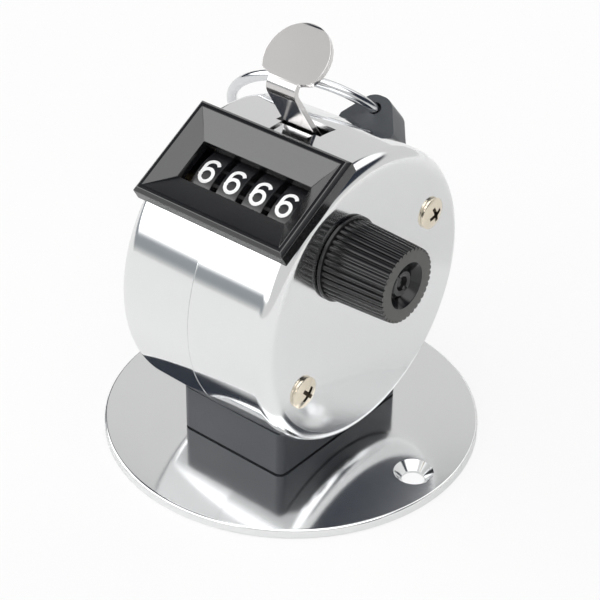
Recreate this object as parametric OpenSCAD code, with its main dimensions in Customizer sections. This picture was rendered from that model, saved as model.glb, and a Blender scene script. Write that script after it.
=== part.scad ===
// Desk tally counter: a plated drum case on a pedestal and a round base plate, with a thumb lever,
// four number wheels behind a window, a reset knob and a finger ring at the back.
// Millimetres. Origin at the centre of the base underside, +Z up, window towards -Y, knob towards +X.

/* [Base plate] */
// Diameter of the base plate
base_d = 56; // [54:0.5:70]
// Thickness of the base plate
base_t = 1.6; // [1.5:0.1:3]
// Bevel round the top edge of the base plate
base_bevel = 0.4; // [0.2:0.1:0.8]
// Distance of each fixing hole from the rim of the base plate
fixing_inset = 5; // [4:0.1:8]
// Diameter of each fixing hole
fixing_hole_d = 3.4; // [2.6:0.1:4]
// Diameter of the countersink over each fixing hole
fixing_sink_d = 5.8; // [5:0.1:6.2]
// Depth of that countersink
fixing_sink_depth = 1.2; // [0.6:0.1:1.3]

/* [Pedestal] */
// Width of the pedestal, along the drum
pedestal_w = 19; // [17:0.5:24]
// Length of the pedestal, front to back
pedestal_l = 27.2; // [20:0.2:30]
// Height of the pedestal under the lowest line of the drum
pedestal_h = 3.1; // [2.5:0.1:8]
// Radius of the upright edges
pedestal_edge_r = 1.2; // [0.5:0.1:3]
// Flat land along the front and back of the saddle
pedestal_land = 0.5; // [0.2:0.1:2]
// Distance between the two screws that hold the drum on the stand
stand_screw_spacing = 11; // [8:0.5:12]
// Diameter of the stand screws
stand_screw_d = 2.5; // [2:0.1:3]
// Thickness of the anchor bar at its middle
anchor_h = 3; // [2.5:0.1:5]
// Length of the anchor bar, along the drum
anchor_l = 17; // [16.6:0.2:20]
// Width of the anchor bar, front to back
anchor_w = 9; // [6:0.5:14]

/* [Case] */
// Diameter of the drum case
case_d = 44.6; // [44:0.2:52]
// Width of the case over its two flat sides
case_w = 27; // [26.8:0.2:32]
// Sheet thickness of the case
case_wall = 0.8; // [0.6:0.1:0.9]
// Radius of the rounded edge at each side
case_edge_r = 2.2; // [1.4:0.1:2.6]
// How far the flat under the window lies inside the round of the drum
facet_cut = 1.5; // [1.2:0.1:2]
// Tilt of the window away from facing straight up
window_tilt = 30; // [24:1:36]
// Width of the cross slot that the lever comes through
slot_w = 9; // [7:0.2:11]
// Width of the notch in front of the cross slot
notch_w = 5.8; // [3:0.2:6.6]
// Distance of each case screw inside the drum's front or back line
screw_inset_y = 8.4; // [7.8:0.1:9.8]
// Distance of each case screw inside the drum's top or bottom line
screw_inset_z = 14.3; // [13.3:0.1:16.3]
// Diameter of the case screws
case_screw_d = 2.5; // [2:0.1:3]
// Head diameter of the case screws
screw_head_d = 5; // [4.4:0.1:5.6]
// Head height of the case screws
screw_head_h = 1.5; // [1.2:0.1:2]
// Length of a case screw in its post
screw_grip = 5; // [3:0.5:8]

/* [Bezel] */
// Distance from each end of the bezel to the side of the case
bezel_side = 0.25; // [0.2:0.05:1]
// Height of the bezel
bezel_h = 16.3; // [15.5:0.1:18]
// How far the bezel stands off the flat of the case
bezel_t = 2.4; // [1.9:0.1:3.5]
// Bevel round the bezel's rim
bezel_bevel = 0.5; // [0.3:0.1:0.8]
// Flat rim between the bevel and the inner slopes
bezel_rim = 0.3; // [0.2:0.1:0.8]
// Space beside the outer number wheels in the window
window_side = 0.9; // [0.4:0.1:1.4]
// Height of the window
window_h = 6.4; // [5:0.1:7.5]
// Depth of the sloping faces round the window
slope_depth = 1.7; // [1:0.1:1.8]
// Width of the ledge by which the bezel overlaps the case opening
bezel_ledge = 1.7; // [1.2:0.1:1.9]

/* [Number wheels] */
// Diameter of the number wheels
wheel_d = 17.4; // [16.4:0.1:18]
// Gap between one number band and the next
band_gap = 1.2; // [1.1:0.05:1.5]
// Space between the lever's drive arm and the frame plate
arm_gap = 0.5; // [0.4:0.05:0.8]
// Depth of the number bands below the flat of the case
wheel_sink = 0.8; // [0.7:0.1:2]
// Rim thickness of each wheel
wheel_rim = 0.9; // [0.6:0.1:1]
// Thickness of each wheel's web
wheel_web = 1.2; // [0.8:0.1:1.6]
// Hub diameter of each wheel
wheel_hub_d = 6; // [5:0.2:7]
// Diameter of the wheel shaft
shaft_d = 3; // [2.4:0.1:3.4]
// Width of the gear on each wheel
gear_w = 0.55; // [0.4:0.05:0.55]
// Width of the carry disc on each wheel
carry_w = 0.5; // [0.3:0.05:0.5]
// Tip diameter of the ratchet on the units wheel
ratchet_d = 8.4; // [7.6:0.1:8.6]
// Width of the ratchet
ratchet_w = 1.4; // [1.1:0.1:1.5]
// Depth of the ratchet teeth
ratchet_depth = 0.8; // [0.5:0.1:1]
// Thickness of the two frame plates
plate_t = 1; // [0.8:0.1:1.1]
// Diameter of the posts between the plates
post_d = 4.6; // [4:0.1:5]

/* [Carry pinions] */
// Diameter of the pinion shaft
pinion_shaft_d = 1.2; // [1:0.1:1.4]
// Diameter of the sleeve of each pinion
pinion_sleeve_d = 2.4; // [2.2:0.1:2.8]
// Width of the pinion teeth
pinion_w = 1; // [0.7:0.05:1]

/* [Reset knob] */
// Diameter of the knob's flange
knob_flange_d = 12.6; // [11.8:0.1:14]
// Thickness of the flange
knob_flange_t = 1.1; // [0.8:0.1:2]
// Diameter of the fluted part beside the flange
knob_root_d = 11.6; // [10.8:0.1:11.8]
// Diameter of the fluted part at its end
knob_end_d = 10.8; // [9:0.1:11.2]
// Length of the knob
knob_l = 10.2; // [8:0.1:14]
// Number of flutes
flute_count = 38; // [24:1:44]
// Depth of the flutes
flute_depth = 0.35; // [0.2:0.05:0.5]
// Diameter of the recess in the knob's end
knob_recess_d = 5.6; // [5:0.1:7]
// Depth of that recess
knob_recess_depth = 1.6; // [1.2:0.1:2.5]

/* [Thumb lever] */
// Sheet thickness of the lever
lever_t = 0.9; // [0.7:0.1:1]
// Width of the lever where it leaves the case
lever_w = 5.6; // [4.8:0.1:6]
// Width of the lever at its bend
lever_neck_w = 4.8; // [4:0.1:5.6]
// Diameter of the thumb pad
pad_d = 10.2; // [9:0.1:12]
// Distance from the bend to the top of the pad
pad_rise = 10.4; // [8.4:0.1:11.5]
// Distance of the lever pivot behind the drum axis
lever_pivot_y = 4.1; // [3.6:0.1:4.6]
// Depth of the lever pivot below the top of the drum
lever_pivot_depth = 4.7; // [4.5:0.1:5.4]
// Length of the lever from its pivot to the bend
lever_reach = 14.1; // [12:0.1:16]
// Forward lean of the lower part of the lever
lever_lean = 32; // [28:1:36]
// Backward lean of the thumb pad
pad_lean = 44; // [20:1:50]
// Travel of the lever in degrees
lever_stroke = 20; // [14:1:22]
// Diameter of the lever's barrel
barrel_d = 6; // [5:0.1:6.2]
// Width of the lever's barrel
barrel_w = 6.4; // [6:0.1:7]
// Diameter of the lever pin
lever_pin_d = 1.6; // [1.2:0.1:1.8]
// Thickness of the drive arm
arm_t = 0.8; // [0.5:0.1:0.9]
// Distance of the pawl pin from the lever pin
pawl_reach = 5.2; // [4.8:0.1:5.4]
// Diameter of the pawl pin
pawl_pin_d = 1; // [0.8:0.1:1.1]
// Wire diameter of the lever spring
spring_wire_d = 0.5; // [0.3:0.05:0.6]
// Turns of the lever spring
spring_turns = 6; // [3:1:7]

/* [Finger ring] */
// Height of the lug round the back of the drum, in degrees above level
lug_elevation = 40; // [32:1:48]
// Width of the lug where it meets the drum
lug_w = 10.6; // [8:0.1:13]
// Width of the lug at its top
lug_top_w = 6; // [5.4:0.1:8]
// Thickness of the lug
lug_t = 5; // [4.4:0.1:5.4]
// How far the lug stands off the drum
lug_h = 5.6; // [5.2:0.1:8]
// Diameter of the ring's wire
ring_wire_d = 1.6; // [1.2:0.1:1.8]
// Diameter of the ring along the middle of its wire
ring_d = 26.4; // [24:0.2:30]
// Sideways turn of the ring at the lug
ring_yaw = 15; // [5:1:20]
// Lean of the ring towards the drum
ring_tilt = 16; // [8:1:18]

/* [Hidden] */
$fn = 64;
running_gap = 0.05;
fit_gap = 0.02;
slip_gap = 0.1;
side_gap = 0.2;
open_gap = 0.3;
gear_teeth = 20;
pinion_teeth = 8;
wheel_count = 4;
digit_count = 10;
digit_step = 360 / digit_count;

fixing_spacing = base_d - 2 * fixing_inset;
case_r = case_d / 2;
case_half = case_w / 2;
screw_reach_y = case_r - screw_inset_y;
screw_reach_z = case_r - screw_inset_z;
drum_z = base_t + pedestal_h + case_r;
inner_r = case_r - case_wall;
inner_half = case_half - case_wall;
facet_w = case_r - facet_cut;
plate_in = inner_half - plate_t;
plate_edge_gap = 0.5;
plate_r = case_r - case_edge_r - plate_edge_gap;
plate_flat_w = facet_w - case_wall - plate_edge_gap;
stand_head_h = stand_screw_d / 2;
pedestal_top = drum_z - sqrt(pow(case_r, 2) - pow(pedestal_l / 2 - pedestal_land, 2));
bezel_w = case_w - 2 * bezel_side;
plug_w = bezel_w - 2 * bezel_ledge;
plug_h = bezel_h - 2 * bezel_ledge;

arm_side = ratchet_w + 2 * side_gap + arm_t + arm_gap;
wheel_pitch = 2 * (plate_in - arm_side + band_gap / 2) / wheel_count;
band_w = wheel_pitch - band_gap;
window_w = wheel_count * wheel_pitch - band_gap + 2 * window_side;
shaft_r = shaft_d / 2;
wheel_r = wheel_d / 2;
wheel_axis_w = facet_w - wheel_sink - wheel_r;
wheel_y = -sin(window_tilt) * wheel_axis_w;
wheel_z = drum_z + cos(window_tilt) * wheel_axis_w;
units_x = (wheel_count - 1) / 2 * wheel_pitch;
ratchet_x = units_x + band_w / 2;
ratchet_end = ratchet_x + ratchet_w;
wheels_left_end = -units_x - band_w / 2 - carry_w;
clip_x = ratchet_end + open_gap;
clip_t = 0.6;
clip_groove = 0.3;
clip_mouth = 1.2 * shaft_r;
collar_wall = 1.1;
collar_r = shaft_r + collar_wall;

pinion_spacing = wheel_r + pinion_sleeve_d / 2 + side_gap;
gear_module = 2 * pinion_spacing / (gear_teeth + pinion_teeth);
gear_r = gear_module * gear_teeth / 2;
pinion_r = gear_module * pinion_teeth / 2;
tooth_rise = 0.85 * gear_module;
tooth_drop = 1.15 * gear_module;
tooth_tip_half = 0.34 * gear_module;
tooth_root_half = 0.65 * gear_module;
carry_disc_r = pinion_spacing - pinion_r - tooth_rise - side_gap;
tooth_sink = 0.3;
carry_angle = -3.5 * digit_step;
ratchet_slope = 0.94;
pinion_bore_r = pinion_shaft_d / 2 + running_gap;
pinion_row_end = (wheel_count - 1) / 2 * wheel_pitch;

knob_x = case_half + open_gap;
knob_end_x = knob_x + knob_l;
knob_floor_x = knob_end_x - knob_recess_depth;
knob_screw_r = shaft_r * 0.5;

lever_pivot_z = drum_z + case_r - lever_pivot_depth;
pressed_lean = lever_lean - lever_stroke;
strip_front_y = lever_pivot_y - tan(lever_lean) * lever_pivot_depth - lever_t / 2 / cos(lever_lean);
strip_back_y = lever_pivot_y - tan(pressed_lean) * (lever_pivot_depth - case_wall)
    + lever_t / 2 / cos(pressed_lean);
slot_front_y = strip_front_y - open_gap;
slot_back_y = strip_back_y + open_gap;
notch_l = bezel_h / 3;
arm_x = ratchet_end + 2 * side_gap;
arm_end = arm_x + arm_t;
arm_half = 1.3;
bend_r = 0.6 * lever_t;
lever_tube_wall = 0.9;
lever_tube_r = lever_pin_d / 2 + lever_tube_wall;
line_angle = atan2(wheel_z - lever_pivot_z, wheel_y - lever_pivot_y);
line_length = norm([wheel_y - lever_pivot_y, wheel_z - lever_pivot_z]);
pawl_angle = line_angle + lever_stroke / 2;
pawl_l = line_length - pawl_reach - ratchet_d / 2 - side_gap;
pawl_x = ratchet_x + side_gap;
pawl_end = arm_x - side_gap;
pawl_wall = 0.5;
pawl_boss_r = pawl_pin_d / 2 + pawl_wall;
leaf_t = 0.2;

spring_r = lever_pin_d / 2 + spring_wire_d + side_gap;
spring_from = -barrel_w / 2 - open_gap - spring_wire_d / 2;
spring_to = -plate_in + open_gap + spring_wire_d / 2;
spring_leg = 4;
spring_start_angle = 200;
coil_steps = 8;
wire_sides = 6;

detent_t = 0.3;
detent_nose = 0.4;
detent_y = -9;
detent_z = -ratchet_d / 2 - detent_nose - detent_t / 2 - side_gap;
detent_post_r = 1.2;

lug_stem_r = 1.8;
lug_stem_l = 0.9;
lug_stem_end = inner_r - lug_stem_l;
lug_washer_r = 3.6;
lug_washer_t = 0.6;
lug_washer_w = sqrt(pow(inner_r, 2) - pow(lug_washer_r, 2)) - running_gap - lug_washer_t;
lug_crown = 1.6;
lug_hole_w = case_r + lug_h - ring_wire_d / 2 - lug_crown;
lug_hole_gap = 0.4;
lug_hole_r = ring_wire_d / 2 + lug_hole_gap;
lug_tip_r = 2.2;
lug_screw_r = 0.9;
lug_screw_end = lug_hole_w - lug_hole_r - 2 * lug_hole_gap;
lug_screw_slot = 0.7;
ring_x = 0.6;
ring_r = ring_d / 2;

// Outline of a gear: tooth centres at (k + phase) pitches, angles from the +X axis of the drawing
function tooth_corner(a, r, half) = r * [cos(a + asin(half / r)), sin(a + asin(half / r))];
function tooth_outline(a, root, tip) = [
    tooth_corner(a, root, -tooth_root_half),
    tooth_corner(a, tip, -tooth_tip_half),
    tooth_corner(a, tip, tooth_tip_half),
    tooth_corner(a, root, tooth_root_half)
];
function gear_outline(teeth, pitch_r, phase) = [
    for (k = [0 : teeth - 1])
        each tooth_outline((k + phase) * 360 / teeth, pitch_r - tooth_drop, pitch_r + tooth_rise)
];
function carry_tooth(a) = tooth_outline(a, carry_disc_r - tooth_sink, gear_r + tooth_rise);
// Outline of the saw-toothed ratchet
function ratchet_outline(tip, root) = [
    for (k = [0 : digit_count - 1])
        let (a = k * digit_step, b = (k + ratchet_slope) * digit_step)
        each [tip * [cos(a), sin(a)], root * [cos(b), sin(b)]]
];

// Points along the lever spring: a straight leg, the coil round the lever pin and a second leg
function coil_point(s) =
    let (a = spring_start_angle + 360 * s)
    [spring_from + (spring_to - spring_from) * s / spring_turns, spring_r * cos(a), spring_r * sin(a)];
function coil_tangent(s) =
    let (a = spring_start_angle + 360 * s)
    [0, -sin(a), cos(a)];
spring_path = [
    coil_point(0) - spring_leg * coil_tangent(0),
    for (k = [0 : spring_turns * coil_steps]) coil_point(k / coil_steps),
    coil_point(spring_turns) + spring_leg * coil_tangent(spring_turns)
];
function unit(v) = v / norm(v);
function along(path, i) = unit(path[min(i + 1, len(path) - 1)] - path[max(i - 1, 0)]);
function wire_ring(path, i, r) =
    let (t = along(path, i), u = unit(cross(t, [1, 0, 0])), v = cross(t, u))
    [
        for (k = [0 : wire_sides - 1])
            let (a = 360 * k / wire_sides)
            path[i] + r * (cos(a) * u + sin(a) * v)
    ];

// A round wire of the given radius swept along a path
module wire(path, r) {
    n = len(path);
    points = [for (i = [0 : n - 1]) each wire_ring(path, i, r)];
    sides = [
        for (i = [0 : n - 2]) for (k = [0 : wire_sides - 1])
            let (a = i * wire_sides + k, b = i * wire_sides + (k + 1) % wire_sides)
            each [[a, b, a + wire_sides], [b, b + wire_sides, a + wire_sides]]
    ];
    last = (n - 1) * wire_sides;
    caps = [
        for (k = [1 : wire_sides - 2])
            each [[0, k + 1, k], [last, last + k, last + k + 1]]
    ];
    polyhedron(points, concat(sides, caps));
}

// Places: the drum axis, the window frame, the wheel and pinion axes, the lever pin and the lug
module at_drum() {
    translate([0, 0, drum_z]) children();
}
module at_window() {
    at_drum() rotate([window_tilt, 0, 0]) children();
}
module at_wheels() {
    at_window() translate([0, 0, wheel_axis_w]) children();
}
module at_pinions() {
    at_window() translate([0, 0, wheel_axis_w - pinion_spacing]) children();
}
module at_lever() {
    translate([0, lever_pivot_y, lever_pivot_z]) children();
}
module at_pawl() {
    rotate([pawl_angle, 0, 0]) translate([0, pawl_reach, 0]) children();
}
module at_lug() {
    at_drum() rotate([lug_elevation - 90, 0, 0]) children();
}
module at_ring() {
    at_lug() translate([ring_x, 0, lug_hole_w]) rotate([0, 0, -ring_yaw]) children();
}
module at_posts() {
    for (s = [-1, 1])
        translate([0, s * screw_reach_y, drum_z + s * screw_reach_z]) children();
}
module at_stand_screws() {
    for (s = [-1, 1])
        translate([s * stand_screw_spacing / 2, 0, 0]) children();
}

// A straight rod, a tube and an extruded drawing along +X
module rod(x0, x1, r) {
    translate([x0, 0, 0]) rotate([0, 90, 0]) cylinder(r = r, h = x1 - x0);
}
module tube(x0, x1, r, bore_r) {
    difference() {
        rod(x0, x1, r);
        rod(x0 - 1, x1 + 1, bore_r);
    }
}
module drawn_along_x(x0, x1) {
    translate([x0, 0, 0]) rotate([0, 90, 0]) linear_extrude(x1 - x0) children();
}

// A block with four rounded upright edges, standing on the XY plane
module rounded_block(w, l, h, r) {
    translate([-w / 2 + r, -l / 2, 0]) cube([w - 2 * r, l, h]);
    translate([-w / 2, -l / 2 + r, 0]) cube([w, l - 2 * r, h]);
    for (x = [-1, 1], y = [-1, 1])
        translate([x * (w / 2 - r), y * (l / 2 - r), 0]) cylinder(r = r, h = h);
}

// A four-sided frustum centred on the Z axis
module frustum(w0, l0, w1, l1, h) {
    corners = [[-1, -1], [1, -1], [1, 1], [-1, 1]] / 2;
    foot = [for (c = corners) [c[0] * w0, c[1] * l0, 0]];
    top = [for (c = corners) [c[0] * w1, c[1] * l1, h]];
    polyhedron(
        concat(foot, top),
        [[0, 1, 2, 3], [7, 6, 5, 4], [0, 4, 5, 1], [1, 5, 6, 2], [2, 6, 7, 3], [3, 7, 4, 0]]
    );
}

// A block larger than the drum with its top face at height w
module block_below(w) {
    translate([-case_w, -case_d, w - 2 * case_d]) cube([2 * case_w, 2 * case_d, 2 * case_d]);
}

// Solid drum with rounded side edges and the flat under the window, all faces moved in by inset
module drum_form(inset) {
    r = case_r - inset;
    half = case_half - inset;
    edge = case_edge_r - inset;
    intersection() {
        rotate([0, 90, 0]) rotate_extrude() {
            translate([0, -half]) square([r - edge, 2 * half]);
            translate([0, -half + edge]) square([r, 2 * half - 2 * edge]);
            for (s = [-1, 1])
                translate([r - edge, s * (half - edge)]) circle(r = edge);
        }
        rotate([window_tilt, 0, 0]) block_below(facet_w - inset);
    }
}

// Both case cups before they are parted at the seam
module case_shell() {
    difference() {
        at_drum() drum_form(0);
        at_drum() drum_form(case_wall);
        at_window() translate([0, 0, facet_w])
            cube([plug_w + 2 * slip_gap, plug_h + 2 * slip_gap, 4 * case_wall], center = true);
        translate([-slot_w / 2, slot_front_y, drum_z + case_r / 2])
            cube([slot_w, slot_back_y - slot_front_y, case_r]);
        translate([-notch_w / 2, slot_front_y - notch_l, drum_z + case_r / 2])
            cube([notch_w, notch_l + slip_gap, case_r]);
        at_posts() rod(-case_w, case_w, case_screw_d / 2 + slip_gap);
        at_wheels() rod(0, case_w, shaft_r + open_gap);
        at_stand_screws() cylinder(r = stand_screw_d / 2 + slip_gap, h = drum_z);
        at_lug() translate([0, 0, case_r / 2]) cylinder(r = lug_stem_r + slip_gap, h = case_r);
    }
}
module half_space(side) {
    translate([side > 0 ? 0 : -case_w, -case_d, 0]) cube([case_w, 2 * case_d, 2 * case_d]);
}

// A frame plate, drawn on the right-hand side
module frame_plate() {
    difference() {
        intersection() {
            at_drum() rod(plate_in, inner_half, plate_r);
            at_window() block_below(plate_flat_w);
            translate([0, -case_d, drum_z - screw_reach_z - post_d]) cube([case_w, 2 * case_d, 2 * case_d]);
        }
        at_posts() rod(0, case_w, case_screw_d / 2 + slip_gap);
        at_wheels() rod(0, case_w, shaft_r + running_gap);
        at_pinions() rod(0, case_w, pinion_shaft_d / 2 + fit_gap);
        at_lever() rod(0, case_w, lever_pin_d / 2 + fit_gap);
    }
}

// A pan-head screw with a cross recess, drawn on the right-hand side with its head outside the case
module case_screw() {
    dome_r = 0.72 * screw_head_d;
    recess_l = 0.56 * screw_head_d;
    recess_w = 0.16 * screw_head_d;
    recess_floor = 0.35 * screw_head_h;
    translate([case_half, 0, 0]) rotate([0, 90, 0]) difference() {
        rotate_extrude() {
            intersection() {
                square([screw_head_d / 2, screw_head_h]);
                translate([0, screw_head_h - dome_r]) circle(r = dome_r);
            }
            translate([0, plate_in - screw_grip - case_half])
                square([case_screw_d / 2, case_half - plate_in + screw_grip + screw_head_h / 4]);
        }
        for (a = [0, 90])
            rotate([0, 0, a]) translate([-recess_l / 2, -recess_w / 2, recess_floor])
                cube([recess_l, recess_w, screw_head_h]);
    }
}

// A number wheel: rim, web and hub, with a gear or a ratchet on its right and a carry disc on its left
module number_wheel(index) {
    x = -units_x + index * wheel_pitch;
    left = x - band_w / 2;
    right = x + band_w / 2;
    is_units = index == wheel_count - 1;
    hub_r = wheel_hub_d / 2;
    color("dimgray") at_wheels() difference() {
        union() {
            tube(left, right, wheel_r, wheel_r - wheel_rim);
            rod(right - wheel_web, right, wheel_r - wheel_rim / 2);
            rod(left - carry_w, right + gear_w, hub_r);
            if (is_units)
                drawn_along_x(right - wheel_web / 2, ratchet_end)
                    polygon(ratchet_outline(ratchet_d / 2, ratchet_d / 2 - ratchet_depth));
            else
                drawn_along_x(right - wheel_web / 2, right + gear_w)
                    polygon(gear_outline(gear_teeth, gear_r, 0.5));
            if (index > 0) {
                rod(left - carry_w, left, carry_disc_r);
                for (s = [-0.5, 0.5])
                    drawn_along_x(left - carry_w, left)
                        polygon(carry_tooth(carry_angle + s * 360 / gear_teeth));
            }
        }
        rod(-case_w, case_w, shaft_r + running_gap);
    }
}

// A carry pinion on its sleeve, in the gap to the right of the wheel with this index
module carry_pinion(index) {
    x = -units_x + (index + 0.5) * wheel_pitch;
    color("darkkhaki") at_pinions() difference() {
        union() {
            drawn_along_x(x - pinion_w / 2, x + pinion_w / 2)
                polygon(gear_outline(pinion_teeth, pinion_r, 0));
            rod(x - wheel_pitch / 2 + running_gap, x + wheel_pitch / 2 - running_gap, pinion_sleeve_d / 2);
        }
        rod(-case_w, case_w, pinion_bore_r);
    }
}

module base_plate() {
    r = base_d / 2;
    color("silver") difference() {
        rotate_extrude()
            polygon([[0, 0], [r, 0], [r, base_t - base_bevel], [r - base_bevel, base_t], [0, base_t]]);
        for (s = [-1, 1])
            translate([s * fixing_spacing / 2, 0, 0]) {
                translate([0, 0, -1]) cylinder(d = fixing_hole_d, h = base_t + 2);
                translate([0, 0, base_t - fixing_sink_depth])
                    cylinder(d1 = fixing_hole_d, d2 = fixing_sink_d, h = fixing_sink_depth);
            }
        at_stand_screws() {
            translate([0, 0, -1]) cylinder(r = stand_screw_d / 2 + slip_gap, h = base_t + 2);
            cylinder(r1 = stand_screw_d + slip_gap, r2 = stand_screw_d / 2 + slip_gap, h = stand_head_h);
        }
    }
}

module pedestal() {
    color("dimgray") difference() {
        translate([0, 0, base_t])
            rounded_block(pedestal_w, pedestal_l, pedestal_top - base_t, pedestal_edge_r);
        at_drum() rod(-case_w, case_w, case_r + fit_gap);
        at_stand_screws() cylinder(r = stand_screw_d / 2 + slip_gap, h = drum_z);
    }
}

module stand_screws() {
    head_gap = 0.1;
    color("lightgray") at_stand_screws() {
        translate([0, 0, head_gap])
            cylinder(r1 = stand_screw_d - head_gap, r2 = stand_screw_d / 2, h = stand_head_h - head_gap);
        translate([0, 0, stand_head_h - head_gap])
            cylinder(d = stand_screw_d, h = drum_z - inner_r + anchor_h - stand_head_h);
    }
}

module anchor_bar() {
    color("gray") difference() {
        translate([-anchor_l / 2, -anchor_w / 2, base_t + pedestal_h])
            cube([anchor_l, anchor_w, case_wall + anchor_h]);
        difference() {
            translate([-case_w, -case_d, 0]) cube([2 * case_w, 2 * case_d, drum_z]);
            at_drum() rod(-2 * case_w, 2 * case_w, inner_r - fit_gap);
        }
        at_stand_screws() cylinder(r = stand_screw_d / 2 + running_gap, h = drum_z);
    }
}

module left_case() {
    color("gainsboro") intersection() {
        case_shell();
        half_space(-1);
    }
}

module right_case() {
    color("gainsboro") intersection() {
        case_shell();
        half_space(1);
    }
}

module bezel() {
    rim_w = bezel_w - 2 * bezel_bevel;
    rim_h = bezel_h - 2 * bezel_bevel;
    mouth_w = rim_w - 2 * bezel_rim;
    mouth_h = rim_h - 2 * bezel_rim;
    color("black") at_window() difference() {
        union() {
            translate([-bezel_w / 2, -bezel_h / 2, facet_w])
                cube([bezel_w, bezel_h, bezel_t - bezel_bevel]);
            translate([0, 0, facet_w + bezel_t - bezel_bevel])
                frustum(bezel_w, bezel_h, rim_w, rim_h, bezel_bevel);
            translate([-plug_w / 2, -plug_h / 2, facet_w - case_wall])
                cube([plug_w, plug_h, 2 * case_wall]);
        }
        translate([0, 0, facet_w + bezel_t - slope_depth])
            frustum(window_w, window_h, mouth_w, mouth_h, slope_depth);
        translate([-window_w / 2, -window_h / 2, facet_w - 2 * case_wall])
            cube([window_w, window_h, 2 * case_wall + bezel_t]);
    }
}

module left_plate() {
    color("lightsteelblue") mirror([1, 0, 0]) frame_plate();
}

module right_plate() {
    color("lightsteelblue") frame_plate();
}

module tie_posts() {
    color("silver") at_posts() difference() {
        rod(-plate_in, plate_in, post_d / 2);
        for (s = [-1, 1])
            rod(s > 0 ? plate_in - screw_grip - 1 : -plate_in - 1,
                s > 0 ? plate_in + 1 : -plate_in + screw_grip + 1, case_screw_d / 2 + running_gap);
    }
}

module left_case_screws() {
    color("wheat") at_posts() mirror([1, 0, 0]) case_screw();
}

module right_case_screws() {
    color("wheat") at_posts() case_screw();
}

module main_shaft() {
    color("silver") at_wheels() difference() {
        rod(-inner_half + slip_gap, knob_floor_x, shaft_r);
        tube(clip_x, clip_x + clip_t, shaft_r + 1, shaft_r - clip_groove);
        rod(knob_floor_x - 2.5 * shaft_r, knob_floor_x + 1, knob_screw_r + running_gap);
    }
}

module left_spacer() {
    color("goldenrod") at_wheels()
        tube(-plate_in + slip_gap, wheels_left_end - slip_gap, collar_r, shaft_r + running_gap);
}

module shaft_clip() {
    color("gray") at_wheels() difference() {
        tube(clip_x + running_gap, clip_x + clip_t - running_gap, collar_r,
            shaft_r - clip_groove + running_gap);
        translate([clip_x - 1, -clip_mouth / 2, 0]) cube([clip_t + 2, clip_mouth, collar_r + 1]);
    }
}

module thrust_washer() {
    color("goldenrod") at_wheels()
        tube(clip_x + clip_t + running_gap, plate_in - slip_gap, collar_r, shaft_r + running_gap);
}

module reset_knob() {
    flute_end = knob_end_d / knob_root_d;
    color("black") at_wheels() difference() {
        union() {
            rod(knob_x, knob_x + knob_flange_t, knob_flange_d / 2);
            translate([knob_x + knob_flange_t / 2, 0, 0]) rotate([0, 90, 0])
                linear_extrude(knob_l - knob_flange_t / 2, scale = flute_end)
                    polygon([
                        for (k = [0 : flute_count - 1], s = [[0, 0], [0.5, 0], [0.75, flute_depth]])
                            let (a = (k + s[0]) * 360 / flute_count)
                            (knob_root_d / 2 - s[1]) * [cos(a), sin(a)]
                    ]);
        }
        rod(knob_x - 1, knob_end_x, shaft_r + fit_gap);
        rod(knob_floor_x, knob_end_x + 1, knob_recess_d / 2);
    }
}

module knob_screw() {
    rim_gap = 0.7;
    head_r = knob_recess_d / 2 - rim_gap;
    head_h = 0.6 * knob_recess_depth;
    color("dimgray") at_wheels() difference() {
        union() {
            rod(knob_floor_x, knob_floor_x + head_h, head_r);
            rod(knob_floor_x - 2 * shaft_r, knob_floor_x + head_h / 2, knob_screw_r);
        }
        rod(knob_floor_x + head_h / 2, knob_floor_x + head_h + 1, head_r / 2);
    }
}

module thousands_wheel() {
    number_wheel(0);
}

module hundreds_wheel() {
    number_wheel(1);
}

module tens_wheel() {
    number_wheel(2);
}

module units_wheel() {
    number_wheel(3);
}

module pinion_shaft() {
    color("silver") at_pinions()
        rod(-inner_half + running_gap, inner_half - running_gap, pinion_shaft_d / 2);
}

module pinion_spacers() {
    color("goldenrod") at_pinions() for (s = [0, 1])
        mirror([s, 0, 0])
            tube(pinion_row_end + running_gap, plate_in - slip_gap, pinion_sleeve_d / 2, pinion_bore_r);
}

module thousands_pinion() {
    carry_pinion(0);
}

module hundreds_pinion() {
    carry_pinion(1);
}

module tens_pinion() {
    carry_pinion(2);
}

module thumb_lever() {
    neck = lever_neck_w / 2;
    strip = [[-lever_w / 2, 0], [lever_w / 2, 0], [neck, lever_reach], [-neck, lever_reach]];
    color("lightgray") at_lever() difference() {
        union() {
            rod(-barrel_w / 2, barrel_w / 2, barrel_d / 2);
            rod(barrel_w / 2 - 1, arm_end + slip_gap, lever_tube_r);
            rotate([lever_lean + 90, 0, 0]) translate([0, 0, -lever_t / 2])
                linear_extrude(lever_t) polygon(strip);
            rotate([lever_lean, 0, 0]) translate([0, 0, lever_reach]) {
                rod(-neck, neck, bend_r);
                rotate([90 - lever_lean - pad_lean, 0, 0]) translate([0, 0, -lever_t / 2])
                    intersection() {
                        translate([0, pad_rise - pad_d / 2, 0]) cylinder(d = pad_d, h = lever_t);
                        translate([-pad_d / 2, 0, 0]) cube([pad_d, pad_rise, lever_t]);
                    }
            }
            rotate([pawl_angle, 0, 0]) translate([arm_x, 0, -arm_half])
                cube([arm_t, pawl_reach, 2 * arm_half]);
            at_pawl() rod(arm_x, arm_end, arm_half);
        }
        rod(-case_w, case_w, lever_pin_d / 2 + running_gap);
        at_pawl() rod(0, case_w, pawl_pin_d / 2 + fit_gap);
    }
}

module lever_pin() {
    color("silver") at_lever()
        rod(-inner_half + running_gap, inner_half - running_gap, lever_pin_d / 2);
}

module lever_spring() {
    color("slategray") at_lever() wire(spring_path, spring_wire_d / 2);
}

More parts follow.
